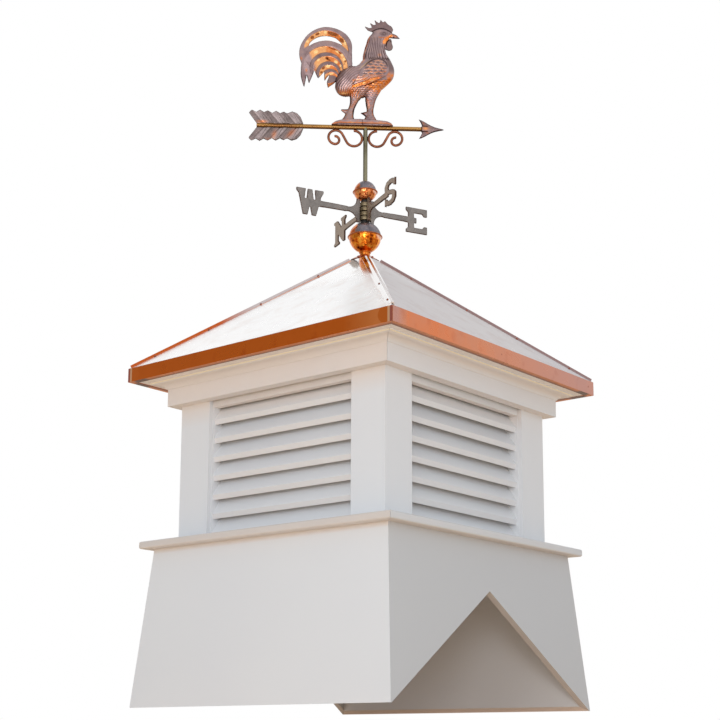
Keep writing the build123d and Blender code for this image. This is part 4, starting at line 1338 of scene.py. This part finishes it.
# %% Mound
MOUND_FOOT = 4.0
BUILT_TOP = ((-101, -88, -59, 35, 63, 81), (4, 14, 22, 20, 15, 4))  # place along, then height
WANTED_TOP = (
    (-104, -96, -88, -76, -62, -40, 0, 35, 50, 65, 73, 80, 84),
    (4, 9, 14, 18, 21, 22, 22, 20, 19, 17, 14, 7, 4),
)
LIP = ((-104, -90, -76, 60, 76, 84), (8, 12.5, 16, 16.5, 13, 9))
mound, places, normals = skinned("rooster_mound", "thin_mound", 0.0012, 2)
along, up = places[:, 0], places[:, 2].copy()
inset = from_rim(along, up)
wanted, built = (np.interp(along, *top) - MOUND_FOOT for top in (WANTED_TOP, BUILT_TOP))
fuller = wanted / np.maximum(built, 1)
places[:, 2] = np.where(up > MOUND_FOOT, MOUND_FOOT + (up - MOUND_FOOT) * fuller, up)
press(mound, places, normals, np.zeros(len(places)))
seen = places[:, 2] + LOOK_UP * np.abs(places[:, 1])
lip_height = np.interp(along, *LIP)
lip = line(seen, lip_height, 1.8)
# dark lines painted below the lip, and across the mound at its seam
dark_lines = 0.9 * line(seen - lip_height, -3.0, 1.1) + 0.12 * (seen < lip_height - 4)
dark_lines += 0.6 * line(along, -9, 1.3)
streaks = rise(wander(along, seen * 3, 9, 9.0), 0.1, 0.6) * (seen > lip_height)
# a dark outline, painted shade
rim_shade = 0.8 * fall(inset, 1.4, 3.5) * (seen > lip_height - 2)
painted(mound, 0.9 * lip + 0.3 * streaks, np.maximum(rim_shade, dark_lines) + 0.1, 0 * lip)
hand_over(mound, "vane", pressed_finish, "rooster_mound")

# %% [markdown]
# ## Arrow feathers and point
# The feathers are sheet with slanting bands pressed in, one band to each scallop of the edge, and every
# other band is darker. The point is folded sheet with a ridge, with painted shade along its edges and
# beside the ridge, orange on its faces, and a painted highlight in the middle. Both get the same even skin
# as the rooster and are pressed and painted by formula.

# %% Arrow feathers
BAND_PITCH, BAND_SLANT, SCALLOP_FIRST = 23.0, 0.83, -325.0


def feather_relief(s, z):
    """Height in millimetres, how bright the copper is, and how dark it is painted: darker bands, and painted
    shade in the grooves and along the outline.
    """
    place = (s - SCALLOP_FIRST + BAND_SLANT * (np.abs(z) - 46)) / BAND_PITCH
    band = np.abs(np.mod(place + 0.5, 2) - 1)
    dark_band = rise(band, 0.3, 0.7)
    groove = 1 - strands(place)
    barb = strands((s - 1.6 * np.abs(z)) / 3.4)
    inset = from_rim(s, z)
    height = 0.9 - 1.6 * groove ** 3 + 0.25 * barb
    bright = 0.55 * spot(s, z, (-261, -27), 6, 12, lean=-20) + 0.6 * spot(s, z, (-213, -22), 6, 16, lean=-42)
    bright += 0.8 * spot(s, z, (-297, 11), 14, 4) + 0.3 * spot(s, z, (-275, -42), 14, 4)
    deep = 0.35 * dark_band + 0.3 * groove ** 4
    return height, bright, np.maximum(deep, 0.9 * fall(inset, 1.6, 4.0))


feathers, places, normals = skinned("arrow_feathers", "pressed_feathers", 0.001, 2)
height, bright, deep = feather_relief(places[:, 0], places[:, 2])
press(feathers, places, normals, height * np.abs(normals[:, 1]))
painted(feathers, bright, deep, 0 * deep)
hand_over(feathers, "vane", weathered("feather_copper", GREYS, worn=0.0), "arrow_feathers")

# %% [markdown]
# The point's outline is curved where the node's is straight. So each column of points is stretched up and
# down to the half height that the photograph shows at its place, and the two barbs are swept back.

# %% Arrow point
POINT_HALF = (  # place along, then half height
    (150, 158, 163, 170, 180, 190, 200, 210, 220, 228), (29, 30, 28, 23, 16.5, 11, 7, 4.6, 2.6, 0.4),
)
point, places, normals = skinned("arrow_point", "folded_point", 0.0008, 2)
along, up = places[:, 0], places[:, 2]
column = np.round((along - along.min()) / 2).astype(int)
reached = np.zeros(column.max() + 1)
np.maximum.at(reached, column, np.abs(up))
reached = np.interp(along, along.min() + 2 * np.arange(len(reached)), reached)
places[:, 2] = up * np.interp(along, *POINT_HALF) / np.maximum(reached, 0.4)
swept = (4.5 - 0.0095 * places[:, 2] ** 2) * rise(np.abs(places[:, 2]), 6, 9)
places[:, 0] = along + swept * fall(along, 160, 178)
press(point, places, normals, np.zeros(len(places)))
along, up = places[:, 0], places[:, 2]
inset = from_rim(along, up, cell=1.0)
heart = spot(along, up, (172, 1), 9, 4.5)
cheeks = spot(along, up, (167, 18), 3, 6) + spot(along, up, (177, -11), 7, 3, lean=-30)
beside = line(np.abs(up), 8, 1.4) * fall(along, 176, 182)
# painted shade along the outline and beside the ridge; the glint in the middle is a painted highlight
rim_shade = fall(inset, 2.5, 4.5)
deep = np.maximum(1.1 * rim_shade, 0.9 * beside + 0.42 * (1 - heart))
painted(point, heart + 0.5 * cheeks, deep, 0.2 * heart)
hand_over(point, "vane", pressed_finish, "arrow_point")

# %% [markdown]
# ## Floor
# The camera stands a little below the cupola's foot, so the floor must not hide it: its underside lets
# light and sight through. It glows a little and is warm where metal mirrors it, and plain where the camera
# sees it.

# %% Floor
FLOOR_HALF, FLOOR_GLOW = 7.0, 0.12


def chosen(tree, factor, usual, other):
    """A shader that is the other one where the factor is 1."""
    node = tree.nodes.new("ShaderNodeMixShader")
    for socket, source in zip(node.inputs, (factor, usual, other)):
        tree.links.new(source, socket)
    return node.outputs[0]


bpy.ops.mesh.primitive_plane_add(size=2 * FLOOR_HALF, location=(0, 0, 0))
floor = bpy.context.object
floor.name = "floor"
ground = Finish("pale_floor", roughness=0.9, metallic=0.0)
ground.colour(ground.ramp(ground.noise(1.5), (0.3, srgb(250, 222, 192)), (0.7, srgb(252, 226, 198))))
ground.put(srgb(250, 222, 196), ground.shader.inputs["Emission Color"])
ground.put(FLOOR_GLOW, ground.shader.inputs["Emission Strength"])
plain = ground.nodes.new("ShaderNodeBsdfDiffuse")
plain.inputs["Color"].default_value = (0.93, 0.93, 0.93, 1.0)
clear = ground.nodes.new("ShaderNodeBsdfTransparent")
from_below = ground.nodes.new("ShaderNodeNewGeometry").outputs["Backfacing"]
seen_directly = ground.nodes.new("ShaderNodeLightPath").outputs["Is Camera Ray"]
tree = ground.material.node_tree
surface = chosen(tree, seen_directly, ground.shader.outputs[0], plain.outputs[0])
surface = chosen(tree, from_below, surface, clear.outputs[0])
tree.links.new(surface, ground.nodes["Material Output"].inputs["Surface"])
floor.data.materials.append(ground.material)
print("floor", 2 * FLOOR_HALF, "m square")

# %% [markdown]
# ## Daylight
# The world is white where the camera looks, and a calm, slightly blue sky elsewhere. What metal mirrors is
# a third one, darker in the direction that the front walls and the fascia reflect, so that copper has a
# dark side and a bright side. Four soft lamps then give each face of the boards the tone that it has in the
# photograph.

# %% Daylight
SKY_TINT, SKY_STRENGTH = (0.85, 0.94, 1.04, 1.0), 0.56
DARK_WAY = (-0.55, -0.8, 0.22)
DARK_STOPS = ((0.45, WHITE), (0.95, (0.42, 0.41, 0.40, 1.0)))
world = bpy.data.worlds.new("daylight")
bpy.context.scene.world = world
world.use_nodes = True
tree = world.node_tree
sky = tree.nodes["Background"]
sky.inputs["Color"].default_value = SKY_TINT
sky.inputs["Strength"].default_value = SKY_STRENGTH
seen = tree.nodes.new("ShaderNodeBackground")
seen.inputs["Color"].default_value = WHITE
mirrored = tree.nodes.new("ShaderNodeBackground")
toward_dark = tree.nodes.new("ShaderNodeVectorMath")
toward_dark.operation = "DOT_PRODUCT"
toward_dark.inputs[1].default_value = DARK_WAY
tree.links.new(tree.nodes.new("ShaderNodeTexCoord").outputs["Generated"], toward_dark.inputs[0])
shade = tree.nodes.new("ShaderNodeValToRGB")
for element, (place, colour) in zip(shade.color_ramp.elements, DARK_STOPS):
    element.position = place
    element.color = colour
tree.links.new(toward_dark.outputs["Value"], shade.inputs["Fac"])
tree.links.new(shade.outputs["Color"], mirrored.inputs["Color"])
path = tree.nodes.new("ShaderNodeLightPath")
backdrop = chosen(tree, path.outputs["Is Glossy Ray"], sky.outputs[0], mirrored.outputs[0])
backdrop = chosen(tree, path.outputs["Is Transmission Ray"], backdrop, seen.outputs[0])
backdrop = chosen(tree, path.outputs["Is Camera Ray"], backdrop, seen.outputs[0])
tree.links.new(backdrop, tree.nodes["World Output"].inputs["Surface"])

LAMP_TARGET = (0.0, 0.0, 0.6)
COOL, WARM = (0.96, 0.99, 1.03), (1.0, 0.97, 0.93)
LAMPS = (  # name, place, size in metres, power in watts, colour
    ("front_lamp", (1.6, -5.2, 2.0), 2.6, 34.0, COOL),
    ("side_lamp", (5.2, -1.6, 2.2), 2.6, 10.0, COOL),
    ("top_lamp", (-0.6, -0.8, 5.5), 5.0, 4.0, WARM),
    ("low_lamp", (3.3, -4.0, 0.45), 1.4, 60.0, COOL),
)
for name, place, size, power, colour in LAMPS:
    data = bpy.data.lights.new(name, "AREA")
    data.size = size
    data.energy = power
    data.color = colour
    lamp = bpy.data.objects.new(name, data)
    bpy.context.scene.collection.objects.link(lamp)
    lamp.location = place
    lamp.rotation_mode = "QUATERNION"
    lamp.rotation_quaternion = (Vector(LAMP_TARGET) - Vector(place)).to_track_quat("-Z", "Y")
bpy.context.scene.view_settings.view_transform = "Standard"
print(len(LAMPS), "lamps and the sky set")
